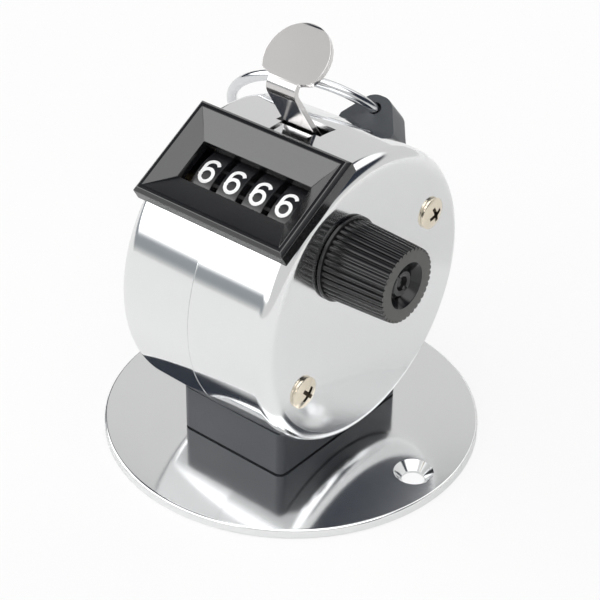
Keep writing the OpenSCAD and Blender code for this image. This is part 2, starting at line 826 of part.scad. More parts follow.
module drive_pawl() {
    tip_half = 0.3;
    color("darkgray") at_lever() at_pawl() difference() {
        union() {
            rod(pawl_x, pawl_end, pawl_boss_r);
            translate([pawl_x, 0, 0]) rotate([90, 0, 90]) linear_extrude(pawl_end - pawl_x)
                polygon([[0, -pawl_boss_r], [pawl_l, -tip_half], [pawl_l, tip_half], [0, pawl_boss_r]]);
        }
        rod(0, case_w, pawl_pin_d / 2 + running_gap);
    }
}

module pawl_pin() {
    color("silver") at_lever() at_pawl() rod(pawl_x, arm_end, pawl_pin_d / 2);
}

module pawl_spring() {
    from_y = lever_tube_r + slip_gap;
    color("slategray") at_lever() rotate([pawl_angle, 0, 0])
        translate([pawl_x + slip_gap, from_y, -pawl_boss_r - slip_gap - leaf_t])
            cube([pawl_end - pawl_x - slip_gap, pawl_reach + pawl_boss_r - from_y, leaf_t]);
}

module detent_post() {
    color("silver") at_wheels() translate([0, detent_y, detent_z])
        rod(pawl_x, plate_in, detent_post_r);
}

module detent_spring() {
    eye_wall = 0.4;
    color("slategray") at_wheels() difference() {
        union() {
            translate([0, detent_y, detent_z]) rod(pawl_x, pawl_end, detent_post_r + eye_wall);
            translate([pawl_x, detent_y, detent_z - detent_t / 2])
                cube([pawl_end - pawl_x, detent_nose - detent_y, detent_t]);
            translate([pawl_x, 0, detent_z]) rotate([90, 0, 90]) linear_extrude(pawl_end - pawl_x)
                polygon([[-detent_nose, 0], [detent_nose, 0], [0, detent_nose + detent_t / 2]]);
        }
        translate([0, detent_y, detent_z]) rod(0, case_w, detent_post_r + fit_gap);
    }
}

module ring_lug() {
    top_x = lug_top_w / 2 - lug_tip_r;
    color("darkslategray") difference() {
        at_lug() {
            rotate([90, 0, 0]) translate([0, 0, -lug_t / 2]) linear_extrude(lug_t) hull() {
                translate([-lug_w / 2, case_r - 1]) square([lug_w, 2]);
                for (s = [-1, 1])
                    translate([s * top_x, case_r + lug_h - lug_tip_r]) circle(r = lug_tip_r);
            }
            translate([0, 0, lug_stem_end]) cylinder(r = lug_stem_r, h = case_r - lug_stem_end);
        }
        difference() {
            at_drum() rod(-case_w, case_w, case_r + fit_gap);
            at_lug() cylinder(r = lug_stem_r, h = case_r + 1);
        }
        at_lug() translate([0, 0, lug_stem_end - 1])
            cylinder(r = lug_screw_r + running_gap, h = lug_screw_end + lug_hole_gap - lug_stem_end + 1);
        at_ring() rotate([90, 0, 0]) cylinder(r = lug_hole_r, h = 4 * lug_t, center = true);
    }
}

module lug_washer() {
    color("silver") at_lug() translate([0, 0, lug_washer_w]) difference() {
        cylinder(r = lug_washer_r, h = lug_washer_t);
        translate([0, 0, -1]) cylinder(r = lug_stem_r + slip_gap, h = lug_washer_t + 2);
    }
}

module lug_screw() {
    head_h = 1.1;
    head_r = 2.6;
    color("wheat") at_lug() difference() {
        union() {
            translate([0, 0, lug_washer_w - head_h - fit_gap]) cylinder(r = head_r, h = head_h);
            translate([0, 0, lug_washer_w - head_h / 2])
                cylinder(r = lug_screw_r, h = lug_screw_end - lug_washer_w + head_h / 2);
        }
        translate([-lug_screw_slot / 2, -case_r, lug_washer_w - 1.5 * head_h])
            cube([lug_screw_slot, case_d, head_h]);
    }
}

module finger_ring() {
    color("silver") at_ring() rotate([0, -ring_tilt, 0]) translate([-ring_r, 0, 0])
        rotate_extrude() translate([ring_r, 0]) circle(d = ring_wire_d);
}

base_plate();
pedestal();
stand_screws();
anchor_bar();
left_case();
right_case();
bezel();
left_plate();
right_plate();
tie_posts();
left_case_screws();
right_case_screws();
main_shaft();
left_spacer();
shaft_clip();
thrust_washer();
reset_knob();
knob_screw();
thousands_wheel();
hundreds_wheel();
tens_wheel();
units_wheel();
pinion_shaft();
pinion_spacers();
thousands_pinion();
hundreds_pinion();
tens_pinion();
thumb_lever();
lever_pin();
lever_spring();
drive_pawl();
pawl_pin();
pawl_spring();
detent_post();
detent_spring();
ring_lug();
lug_washer();
lug_screw();
finger_ring();
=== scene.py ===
import math
from collections import namedtuple

import bmesh
import bpy
from mathutils import Matrix, Vector


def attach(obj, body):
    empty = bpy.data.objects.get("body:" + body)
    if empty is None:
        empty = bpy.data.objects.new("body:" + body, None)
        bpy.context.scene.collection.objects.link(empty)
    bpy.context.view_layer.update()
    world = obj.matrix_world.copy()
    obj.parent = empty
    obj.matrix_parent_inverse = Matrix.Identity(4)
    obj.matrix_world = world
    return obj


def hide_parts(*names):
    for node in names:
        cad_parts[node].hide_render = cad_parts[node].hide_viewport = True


bl_info = {
    "name": "Desk Tally Counter",
    "version": (1, 0, 0),
    "blender": (4, 5, 0),
    "location": "View3D > Sidebar > Counter",
    "description": "Builds the finished pieces of a desk tally counter on its packed frame",
    "category": "Object",
}

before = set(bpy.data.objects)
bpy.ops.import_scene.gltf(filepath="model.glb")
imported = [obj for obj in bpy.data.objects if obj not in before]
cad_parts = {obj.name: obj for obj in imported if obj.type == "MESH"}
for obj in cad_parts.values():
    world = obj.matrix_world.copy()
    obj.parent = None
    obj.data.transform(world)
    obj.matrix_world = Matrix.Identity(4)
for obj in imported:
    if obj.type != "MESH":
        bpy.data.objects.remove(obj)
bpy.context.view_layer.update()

MM = 0.001
TAU = 2 * math.pi
DRUM = Vector((0.0, 0.0, 27.0))
DRUM_SEAT = 22.32
WINDOW_TILT = math.radians(30)
FACET = 20.8
WINDOW_OUT = Vector((0.0, -math.sin(WINDOW_TILT), math.cos(WINDOW_TILT)))
WINDOW_UP = Vector((0.0, math.cos(WINDOW_TILT), math.sin(WINDOW_TILT)))
WHEEL_AXIS = DRUM + 11.3 * WINDOW_OUT
LEVER_AXIS = Vector((0.0, 4.1, 44.6))
LUG_PLACE = Matrix.Translation(DRUM) @ Matrix.Rotation(math.radians(-50), 4, "X")
RING_PLACE = (
    LUG_PLACE
    @ Matrix.Translation((0.6, 0.0, 25.5))
    @ Matrix.Rotation(math.radians(-15), 4, "Z")
)
ALONG_X = Matrix.Rotation(math.pi / 2, 4, "Y")


def in_mm(metres):
    """A length property in millimetres."""
    return metres / MM


def settings():
    return bpy.context.scene.tally_counter


# Sizes and colours that the panel's operators use


def length(name, description, millimetres):
    return bpy.props.FloatProperty(
        name=name,
        description=description,
        default=millimetres * MM,
        min=0.0,
        precision=4,
        subtype="DISTANCE",
        unit="LENGTH",
    )


def angle(name, description, degrees):
    return bpy.props.FloatProperty(
        name=name,
        description=description,
        default=math.radians(degrees),
        subtype="ANGLE",
        unit="ROTATION",
    )


def colour(name, description, rgb):
    return bpy.props.FloatVectorProperty(
        name=name, description=description, default=rgb, size=3, min=0.0, max=1.0, subtype="COLOR"
    )


def number(name, description, value, top=10.0):
    return bpy.props.FloatProperty(name=name, description=description, default=value, min=0.0, max=top)


def whole(name, description, value, low, high):
    return bpy.props.IntProperty(name=name, description=description, default=value, min=low, max=high)


class StandSettings(bpy.types.PropertyGroup):
    base_diameter: length("Base diameter", "Diameter of the base plate", 56.0)
    base_thickness: length("Base thickness", "Thickness of the base plate", 1.6)
    rim_bevel: length("Rim bevel", "Bevel round the top edge of the base plate", 0.4)
    hole_spacing: length("Hole spacing", "Distance between the two fixing holes", 46.0)
    hole_diameter: length("Hole diameter", "Diameter of each fixing hole", 3.4)
    sink_diameter: length("Countersink", "Diameter of the countersink over each hole", 5.8)
    sink_depth: length("Countersink depth", "Depth of that countersink", 1.2)
    pedestal_width: length("Pedestal width", "Width of the pedestal along the drum", 19.0)
    pedestal_length: length("Pedestal length", "Length of the pedestal, front to back", 27.2)
    pedestal_edge: length("Pedestal edge", "Radius of the upright edges", 1.2)
    pedestal_colour: colour("Pedestal", "Colour of the pedestal's plastic", (0.041, 0.0445, 0.052))


class CaseSettings(bpy.types.PropertyGroup):
    diameter: length("Diameter", "Diameter of the drum at the seam", 44.6)
    width: length("Width", "Width over the two flat sides", 27.0)
    wall: length("Wall", "Sheet thickness of the cups", 0.8)
    edge_radius: length("Edge radius", "Radius of the rounded edge of each cup", 2.2)
    draft: angle("Draft", "Taper of each cup away from the seam", 1.2)
    seam: length("Seam", "Gap between the two cups", 0.03)
    side_satin: number("Side satin", "Added roughness of the flat sides", 0.055, 1.0)
    plating: colour("Plating", "Tint of the bright plating", (0.86, 0.865, 0.87))
    nickel: colour("Nickel", "Tint of the screw heads", (0.82, 0.74, 0.61))


class BezelSettings(bpy.types.PropertyGroup):
    width: length("Width", "Width of the bezel", 26.5)
    height: length("Height", "Height of the bezel", 16.3)
    standoff: length("Standoff", "How far the bezel stands off the case", 2.4)
    bevel: length("Bevel", "Bevel round the rim", 0.5)
    rim: length("Rim", "Flat rim between the bevel and the slopes", 0.55)
    window_width: length("Window width", "Width of the window", 19.0)
    window_height: length("Window height", "Height of the window", 6.2)
    slope_depth: length("Slope depth", "Depth of the slopes round the window", 1.7)
    ink: colour("Plastic", "Colour of the bezel and knob", (0.009, 0.009, 0.01))


class WheelSettings(bpy.types.PropertyGroup):
    diameter: length("Diameter", "Diameter of the number wheels", 17.4)
    pitch: length("Pitch", "Distance from one wheel to the next", 4.6)
    band: length("Band", "Width of each number band", 3.4)
    digit_height: length("Digit height", "Height of the digits", 3.85)
    digit_width: length("Digit width", "Width of the digits", 2.5)
    stroke: length("Stroke", "Width of the digit strokes", 0.52)
    shown: whole("Digit shown", "Digit in the window at rest", 6, 0, 9)
    ink: colour("Digits", "Colour of the digits", (0.88, 0.88, 0.88))
    ground: colour("Bands", "Colour of the number bands", (0.014, 0.014, 0.016))


class KnobSettings(bpy.types.PropertyGroup):
    flange_diameter: length("Flange", "Diameter of the flange", 12.3)
    flange_thickness: length("Flange thickness", "Thickness of the flange", 0.6)
    root_diameter: length("Root", "Diameter over the ribs beside the flange", 11.6)
    end_diameter: length("End", "Diameter over the ribs at the end", 10.8)
    length: length("Length", "Length of the knob", 10.38)
    rib_height: length("Rib height", "Height of the ribs", 0.35)
    ribs: whole("Ribs", "Number of ribs round the knob", 38, 8, 80)
    recess: length("Recess", "Diameter of the recess in the end", 6.5)
    recess_floor: length("Recess floor", "Diameter of that recess at its floor", 4.8)
    recess_depth: length("Recess depth", "Depth of that recess", 1.6)


class LeverSettings(bpy.types.PropertyGroup):
    thickness: length("Thickness", "Sheet thickness of the lever", 0.9)
    width: length("Width", "Width of the lever at its barrel", 5.6)
    neck: length("Neck", "Width of the lever at its bend", 5.0)
    pad: length("Pad", "Diameter of the thumb pad", 10.2)
    rise: length("Rise", "Distance from the bend to the top of the pad", 9.9)
    reach: length("Reach", "Distance from the pivot to the bend", 14.1)
    bend: length("Bend", "Radius of the bend", 1.5)
    lean: angle("Lean", "Forward lean of the lower part", 32.0)
    pad_lean: angle("Pad lean", "Backward lean of the pad", 48.0)
    steel: colour("Steel", "Tint of the lever's steel", (0.7, 0.685, 0.68))


class RingSettings(bpy.types.PropertyGroup):
    diameter: length("Diameter", "Diameter along the middle of the wire", 26.4)
    wire: length("Wire", "Diameter of the wire", 1.6)
    tilt: angle("Tilt", "Lean of the ring towards the drum", 16.0)
    lug_width: length("Lug width", "Width of the lug at the drum", 9.6)
    lug_top: length("Lug top", "Width of the lug at its top", 6.0)
    lug_thickness: length("Lug thickness", "Thickness of the lug", 5.0)
    lug_height: length("Lug height", "How far the lug stands off the drum", 5.3)
    slate: colour("Lug", "Colour of the lug's paint", (0.045, 0.05, 0.058))


class ScrewSettings(bpy.types.PropertyGroup):
    diameter: length("Head", "Diameter of the screw heads", 4.7)
    edge: length("Edge", "Height of the head at its edge", 0.4)
    height: length("Height", "Height of the head at its middle", 1.0)
    cross: length("Cross", "Length of the cross recess", 2.6)
    cross_width: length("Cross width", "Width of its arms", 0.62)
    cross_depth: length("Cross depth", "Depth of the recess", 0.65)


class StageSettings(bpy.types.PropertyGroup):
    floor: colour("Floor", "Colour of the floor", (0.8, 0.8, 0.795))
    room: colour("Room", "Light from the room all round", (0.7, 0.7, 0.695))
    band: colour("Band", "Light from the dim low band at the front left", (0.3, 0.325, 0.345))
    ceiling: colour("Ceiling", "Light from the dark ceiling at the back", (0.03, 0.036, 0.05))
    box_level: number("Softbox level", "Brightness of the softbox at the front left", 2.8)
    strip_level: number("Back level", "Brightness of the small light at the back", 1.3)
    cap_level: number("Overhead level", "Brightness of the soft light overhead", 2.0)


class CounterSettings(bpy.types.PropertyGroup):
    stand: bpy.props.PointerProperty(type=StandSettings)
    case: bpy.props.PointerProperty(type=CaseSettings)
    bezel: bpy.props.PointerProperty(type=BezelSettings)
    wheels: bpy.props.PointerProperty(type=WheelSettings)
    knob: bpy.props.PointerProperty(type=KnobSettings)
    lever: bpy.props.PointerProperty(type=LeverSettings)
    ring: bpy.props.PointerProperty(type=RingSettings)
    screws: bpy.props.PointerProperty(type=ScrewSettings)
    stage: bpy.props.PointerProperty(type=StageSettings)


# Mesh making


def new_object(name, points, faces, place=None):
    """An object at the origin from points in millimetres, merged and with its faces turned outwards."""
    place = place or Matrix.Identity(4)
    mesh = bpy.data.meshes.new(name)
    mesh.from_pydata([(place @ Vector(p)) * MM for p in points], [], faces)
    tidy(mesh)
    obj = bpy.data.objects.new(name, mesh)
    bpy.context.scene.collection.objects.link(obj)
    return obj


def tidy(mesh):
    shape = bmesh.new()
    shape.from_mesh(mesh)
    bmesh.ops.remove_doubles(shape, verts=shape.verts, dist=1e-7)
    bmesh.ops.dissolve_degenerate(shape, edges=shape.edges, dist=1e-8)
    bmesh.ops.recalc_face_normals(shape, faces=shape.faces)
    shape.to_mesh(mesh)
    shape.free()


def soften(obj, degrees):
    """Smooth shading with edges kept crisp where faces meet at more than this angle."""
    obj.data.shade_smooth()
    obj.data.set_sharp_from_angle(angle=math.radians(degrees))


def keep_flats(obj, degrees):
    """Smooth shading in which the large flat faces keep their own normal right up to their edges."""
    soften(obj, degrees)
    step = obj.modifiers.new("flats", "WEIGHTED_NORMAL")
    step.weight = 100
    step.keep_sharp = True
    settle(obj)


def settle(obj):
    """The evaluated mesh takes the place of the modifiers."""
    bpy.context.view_layer.update()
    graph = bpy.context.evaluated_depsgraph_get()
    mesh = bpy.data.meshes.new_from_object(obj.evaluated_get(graph))
    old = obj.data
    obj.modifiers.clear()
    obj.data = mesh
    bpy.data.meshes.remove(old)
    mesh.name = obj.name


def carve(obj, cutters, operation="DIFFERENCE"):
    for cutter in cutters:
        step = obj.modifiers.new("carve", "BOOLEAN")
        step.object = cutter
        step.operation = operation
        step.solver = "EXACT"
    settle(obj)
    for cutter in cutters:
        bpy.data.objects.remove(cutter)


def ease_edges(obj, width, segments, degrees):
    step = obj.modifiers.new("ease", "BEVEL")
    step.width = width * MM
    step.segments = segments
    step.limit_method = "ANGLE"
    step.angle_limit = math.radians(degrees)
    step.harden_normals = True
    settle(obj)


def loft(rings, closed=False):
    """Points and faces of a skin through rings of points, closed on itself or capped at both ends."""
    n, count = len(rings[0]), len(rings)
    faces = [
        (i * n + k, i * n + (k + 1) % n, (i + 1) % count * n + (k + 1) % n, (i + 1) % count * n + k)
        for i in range(count if closed else count - 1)
        for k in range(n)
    ]
    if not closed:
        faces += [tuple(range(n - 1, -1, -1)), tuple(range((count - 1) * n, count * n))]
    return [p for ring in rings for p in ring], faces


def turned(profile, segments):
    """Points and faces of a closed profile of (radius, height) pairs turned about the Z axis."""
    angles = [TAU * i / segments for i in range(segments)]
    rings = [[(r * math.cos(a), r * math.sin(a), h) for r, h in profile] for a in angles]
    return loft(rings, closed=True)


def arc(centre, radius, start, end, steps):
    """Points on an arc, from one angle in degrees to another."""
    return oval(*centre, radius, radius, start, end, steps)


def oval(x, y, wide, high, start, end, steps=None):
    """Points along part of an ellipse, from one angle in degrees to another."""
    steps = steps or max(4, round(abs(end - start) / 9))
    angles = [math.radians(start + (end - start) * k / steps) for k in range(steps + 1)]
    return [(x + wide * math.cos(a), y + high * math.sin(a)) for a in angles]


def prism(outline, low, high):
    """Points and faces of an outline in X and Y raised from low to high."""
    return loft([[(x, y, z) for x, y in outline] for z in (low, high)])


def rounded_rectangle(width, height, radius, steps=8):
    w, h = width / 2 - radius, height / 2 - radius
    corners = [((w, h), 0), ((-w, h), 90), ((-w, -h), 180), ((w, -h), 270)]
    return [p for centre, start in corners for p in arc(centre, radius, start, start + 90, steps)]


def rod(name, radius, low, high, place, segments=64):
    profile = [(0, low), (radius, low), (radius, high), (0, high)]
    return new_object(name, *turned(profile, segments), place)


def block(name, low, high, place=None):
    outline = [(low[0], low[1]), (high[0], low[1]), (high[0], high[1]), (low[0], high[1])]
    return new_object(name, *prism(outline, low[2], high[2]), place)


def along_x(axis):
    return Matrix.Translation(axis) @ ALONG_X


def window_place(out):
    """Window frame: X along the drum, Y up the slope, Z out of the window."""
    tilted = Matrix.Translation(DRUM) @ Matrix.Rotation(WINDOW_TILT, 4, "X")
    return tilted @ Matrix.Translation((0, 0, out))


def paint(obj, *finishes):
    """Gives a piece its finishes, each in a material slot of its own."""
    obj.data.materials.clear()
    for name in finishes:
        obj.data.materials.append(finish(name))


def hand_over(obj, body, slot, *nodes):
    """Gives a finished piece its body and hides the nodes that it stands for; the slot is not used."""
    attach(obj, body)
    if nodes:
        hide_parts(*nodes)


# Node trees


def add_node(tree, kind, inputs=(), **options):
    """A new node with its options set, each input given a value or linked to an output."""
    made = tree.nodes.new(kind)
    for name, value in options.items():
        setattr(made, name, value)
    for name, value in dict(inputs).items():
        if isinstance(value, bpy.types.NodeSocket):
            tree.links.new(value, made.inputs[name])
        else:
            made.inputs[name].default_value = value
    return made


def sockets(tree, direction, *rows):
    """Sockets of a node group: each row is a name, a kind and, where it has one, a default."""
    for name, kind, *default in rows:
        made = tree.interface.new_socket(name=name, in_out=direction, socket_type=f"NodeSocket{kind}")
        if default:
            made.default_value = default[0]


def repeat_tree():
    """Geometry nodes: the piece itself joined with copies of a rib turned evenly about the Z axis."""
    tree = bpy.data.node_groups.new("Ribs round an axis", "GeometryNodeTree")
    sockets(
        tree, "INPUT",
        ("Geometry", "Geometry"), ("Rib", "Object"), ("Count", "Int", 38), ("Material", "Material"),
    )
    sockets(tree, "OUTPUT", ("Geometry", "Geometry"))
    given = tree.nodes.new("NodeGroupInput").outputs
    row = add_node(tree, "GeometryNodeMeshLine", {"Offset": (0, 0, 0), "Count": given["Count"]})
    rib = add_node(tree, "GeometryNodeObjectInfo", {"Object": given["Rib"]})
    index = tree.nodes.new("GeometryNodeInputIndex").outputs[0]
    share = add_node(tree, "ShaderNodeMath", {0: index, 1: given["Count"]}, operation="DIVIDE")
    turn = add_node(tree, "ShaderNodeMath", {0: share.outputs[0], 1: TAU}, operation="MULTIPLY")
    spin = add_node(tree, "ShaderNodeCombineXYZ", {"Z": turn.outputs[0]})
    placed = add_node(tree, "GeometryNodeInstanceOnPoints", {
        "Points": row.outputs["Mesh"], "Instance": rib.outputs["Geometry"], "Rotation": spin.outputs[0],
    })
    joined = add_node(tree, "GeometryNodeJoinGeometry", {"Geometry": placed.outputs["Instances"]})
    tree.links.new(given["Geometry"], joined.inputs["Geometry"])
    realize(tree, joined.outputs[0], given["Material"])
    return tree


def scatter_tree():
    """Geometry nodes: one piece placed on every point, turned by the point's own turn."""
    tree = bpy.data.node_groups.new("Piece on each point", "GeometryNodeTree")
    sockets(tree, "INPUT", ("Geometry", "Geometry"), ("Piece", "Object"), ("Material", "Material"))
    sockets(tree, "OUTPUT", ("Geometry", "Geometry"))
    given = tree.nodes.new("NodeGroupInput").outputs
    piece = add_node(tree, "GeometryNodeObjectInfo", {"Object": given["Piece"]})
    turn = add_node(tree, "GeometryNodeInputNamedAttribute", {"Name": "turn"}, data_type="FLOAT_VECTOR")
    placed = add_node(tree, "GeometryNodeInstanceOnPoints", {
        "Points": given["Geometry"], "Instance": piece.outputs["Geometry"],
        "Rotation": turn.outputs["Attribute"],
    })
    realize(tree, placed.outputs["Instances"], given["Material"])
    return tree


def realize(tree, geometry, material):
    """Ends a geometry tree: the instances become a mesh, which takes the material."""
    real = add_node(tree, "GeometryNodeRealizeInstances", {"Geometry": geometry})
    paint = add_node(tree, "GeometryNodeSetMaterial", {"Geometry": real.outputs[0], "Material": material})
    add_node(tree, "NodeGroupOutput", {0: paint.outputs[0]})


def grow(obj, tree, **values):
    """Runs a geometry node tree on an object and keeps the result as its mesh."""
    step = obj.modifiers.new("grow", "NODES")
    step.node_group = tree
    names = {item.name: item.identifier for item in tree.interface.items_tree if item.in_out == "INPUT"}
    for name, value in values.items():
        step[names[name]] = value
    settle(obj)


# Materials

GRAIN_DEPTH = 0.05 * MM
Look = namedtuple(
    "Look",
    "tint metallic rough smudge smudge_scale grain_scale bump drift stretch specular",
    defaults=((1, 1, 1), 0.5),
)


def looks():
    """The look of every finish, its values in the order that Look names them."""
    s = settings()
    return {
        "Bright plating": Look(s.case.plating, 1.0, 0.085, 0.05, 60.0, 500.0, 0.01, 0.01),
        "Drum plating": Look(s.case.plating, 1.0, 0.06, 0.05, 60.0, 500.0, 0.004, 0.01),
        "Ring plating": Look((0.74, 0.75, 0.765), 1.0, 0.1, 0.06, 90.0, 700.0, 0.02, 0.03),
        "Warm nickel": Look(s.case.nickel, 1.0, 0.14, 0.08, 300.0, 2500.0, 0.04, 0.04),
        # Dark finish of the screws' cross recesses: painted shade
        "Recess shade": Look((0.1, 0.08, 0.06), 1.0, 0.4, 0.1, 300.0, 2500.0, 0.1, 0.2),
        "Satin steel": Look(s.lever.steel, 1.0, 0.13, 0.06, 120.0, 900.0, 0.03, 0.05, (1, 8, 8)),
        # Dark steel of the lever's barrel and arm: painted shade for the inside of the lever slot
        "Dark oxide": Look((0.05, 0.05, 0.052), 1.0, 0.35, 0.1, 200.0, 1200.0, 0.08, 0.15),
        "Plain steel": Look((0.55, 0.56, 0.58), 1.0, 0.28, 0.1, 200.0, 1200.0, 0.08, 0.06, (1, 6, 6)),
        "Spring wire": Look((0.1, 0.1, 0.105), 1.0, 0.3, 0.1, 400.0, 2000.0, 0.05, 0.1),
        "Turned brass": Look((0.78, 0.6, 0.27), 1.0, 0.22, 0.1, 300.0, 2000.0, 0.06, 0.06, (6, 1, 1)),
        "Gloss black": Look(s.bezel.ink, 0.0, 0.1, 0.08, 110.0, 1600.0, 0.03, 0.15, specular=1.0),
        "Knob black": Look(s.bezel.ink, 0.0, 0.11, 0.1, 150.0, 1400.0, 0.04, 0.2),
        "Knob face": Look((0.095, 0.095, 0.09), 0.0, 0.5, 0.1, 200.0, 1400.0, 0.1, 0.15),
        "Band black": Look(s.wheels.ground, 0.0, 0.14, 0.1, 200.0, 2200.0, 0.03, 0.2, specular=1.0),
        "Digit white": Look(s.wheels.ink, 0.0, 0.4, 0.1, 300.0, 3000.0, 0.05, 0.03),
        "Pedestal grain": Look(s.stand.pedestal_colour, 0.0, 0.42, 0.12, 140.0, 2600.0, 0.25, 0.08),
        "Slate paint": Look(s.ring.slate, 0.0, 0.3, 0.12, 160.0, 1800.0, 0.1, 0.08),
        "Pinion cream": Look((0.7, 0.66, 0.53), 0.0, 0.4, 0.1, 200.0, 1500.0, 0.08, 0.05),
    }


def surface_marks():
    """Soft smudges and fine rub marks: a roughness that drifts over the surface and a small height."""
    tree = bpy.data.node_groups.get("Surface marks")
    if tree:
        return tree
    tree = bpy.data.node_groups.new("Surface marks", "ShaderNodeTree")
    sockets(
        tree, "INPUT",
        ("Roughness", "Float", 0.1), ("Smudge", "Float", 0.03), ("Smudge scale", "Float", 90.0),
        ("Grain scale", "Float", 900.0), ("Stretch", "Vector", (1.0, 1.0, 1.0)),
    )
    sockets(tree, "OUTPUT", ("Roughness", "Float"), ("Height", "Float"))
    given = tree.nodes.new("NodeGroupInput").outputs
    place = tree.nodes.new("ShaderNodeTexCoord").outputs["Object"]
    smudge = add_node(tree, "ShaderNodeTexNoise", {
        "Vector": place, "Scale": given["Smudge scale"], "Detail": 4.0,
    })
    scaled = {0: place, 1: given["Stretch"]}
    stretch = add_node(tree, "ShaderNodeVectorMath", scaled, operation="MULTIPLY")
    grain = add_node(tree, "ShaderNodeTexNoise", {
        "Vector": stretch.outputs[0], "Scale": given["Grain scale"], "Detail": 2.0,
    })
    drift = {0: smudge.outputs["Fac"], 1: given["Smudge"], 2: given["Roughness"]}
    spread = add_node(tree, "ShaderNodeMath", drift, operation="MULTIPLY_ADD")
    add_node(tree, "NodeGroupOutput", {0: spread.outputs[0], 1: grain.outputs["Fac"]})
    return tree


def finish(name):
    """The Principled material of a finish, its roughness, height and tint varied by surface marks."""
    made = bpy.data.materials.get(name)
    if made:
        return made
    look = looks()[name]
    made = bpy.data.materials.new(name)
    made.use_nodes = True
    tree = made.node_tree
    marks = add_node(tree, "ShaderNodeGroup", {
        "Roughness": look.rough,
        "Smudge": look.smudge,
        "Smudge scale": look.smudge_scale,
        "Grain scale": look.grain_scale,
        "Stretch": look.stretch,
    }, node_tree=surface_marks())
    height = marks.outputs["Height"]
    relief = add_node(tree, "ShaderNodeBump", {
        "Strength": look.bump, "Distance": GRAIN_DEPTH, "Height": height,
    })
    tones = add_node(tree, "ShaderNodeMix", {
        "A": (*[c * (1 - look.drift) for c in look.tint], 1.0),
        "B": (*[min(1.0, c * (1 + look.drift)) for c in look.tint], 1.0),
        "Factor": height,
    }, data_type="RGBA")
    shader = tree.nodes["Principled BSDF"].inputs
    shader["Metallic"].default_value = look.metallic
    shader["Specular IOR Level"].default_value = look.specular
    tree.links.new(marks.outputs["Roughness"], shader["Roughness"])
    tree.links.new(relief.outputs["Normal"], shader["Normal"])
    tree.links.new(tones.outputs["Result"], shader["Base Color"])
    return made


def satin_sides():
    """Turns the drum's plating to satin on the flat sides of the case, the first time it is called."""
    s = settings().case
    tree = finish("Drum plating").node_tree
    roughness = tree.nodes["Principled BSDF"].inputs["Roughness"]
    bright = roughness.links[0].from_socket
    if bright.node.type != "GROUP":
        return
    place = tree.nodes.new("ShaderNodeTexCoord").outputs["Object"]
    split = add_node(tree, "ShaderNodeSeparateXYZ", {0: place})
    size = add_node(tree, "ShaderNodeMath", {0: split.outputs["X"]}, operation="ABSOLUTE")
    satin = add_node(tree, "ShaderNodeMapRange", {
        "Value": size.outputs[0],
        "From Min": s.width / 2 - 0.6 * s.edge_radius,
        "From Max": s.width / 2,
        "To Max": s.side_satin,
    }, interpolation_type="SMOOTHSTEP")
    total = add_node(tree, "ShaderNodeMath", {0: satin.outputs["Result"], 1: bright}, operation="ADD")
    tree.links.new(total.outputs[0], roughness)


# Pieces


class COUNTER_OT_stand(bpy.types.Operator):
    """Round base plate with its countersunk holes, and the pedestal under the drum"""

    bl_idname = "counter.stand"
    bl_label = "Stand"

    def execute(self, context):
        s = settings().stand
        r, t, bevel = in_mm(s.base_diameter) / 2, in_mm(s.base_thickness), in_mm(s.rim_bevel)
        chamfer, lead = 0.25, 0.05
        profile = [(0, 0), (r - chamfer, 0), (r, chamfer), (r, t - bevel)]
        profile += arc((r - bevel, t - bevel), bevel, 15, 75, 4) + [(r - bevel, t), (0, t)]
        plate = new_object("base_plate_plated", *turned(profile, 256))
        hole, sink, depth = in_mm(s.hole_diameter) / 2, in_mm(s.sink_diameter) / 2, in_mm(s.sink_depth)
        bore = [(0, -1), (hole, -1), (hole, t - depth), (sink, t)]
        bore += [(sink + 0.12, t + lead), (0, t + lead)]
        screw_place, screw_head, screw_shank = 5.5, 2.6, 1.35
        seat = [(0, -1), (screw_head, -1), (screw_head, 0), (screw_shank, screw_head - screw_shank)]
        seat += [(screw_shank, t + 1), (0, t + 1)]
        for profile, segments, x in ((bore, 64, in_mm(s.hole_spacing) / 2), (seat, 48, screw_place)):
            carve(plate, [
                new_object("bore", *turned(profile, segments), Matrix.Translation((side * x, 0, 0)))
                for side in (-1, 1)
            ])
        keep_flats(plate, 20)
        paint(plate, "Bright plating")
        hand_over(plate, "frame", "chrome", "base_plate")

        wide, long, edge = in_mm(s.pedestal_width), in_mm(s.pedestal_length), in_mm(s.pedestal_edge)
        gap, inset, foot, top = 0.25, 0.45, 0.6, 8.95
        outline = rounded_rectangle(wide, long, edge)
        pedestal = new_object("pedestal_moulding", *prism(outline, t + gap, top))
        carve(pedestal, [rod("saddle", DRUM_SEAT, -20, 20, along_x(DRUM), 256)])
        ease_edges(pedestal, 0.12, 2, 35)
        outline = rounded_rectangle(wide - 2 * inset, long - 2 * inset, edge - inset)
        carve(pedestal, [new_object("foot", *prism(outline, t, t + foot))], "UNION")
        keep_flats(pedestal, 30)
        paint(pedestal, "Pedestal grain")
        hand_over(pedestal, "frame", "pedestal_plastic", "pedestal")
        return {"FINISHED"}


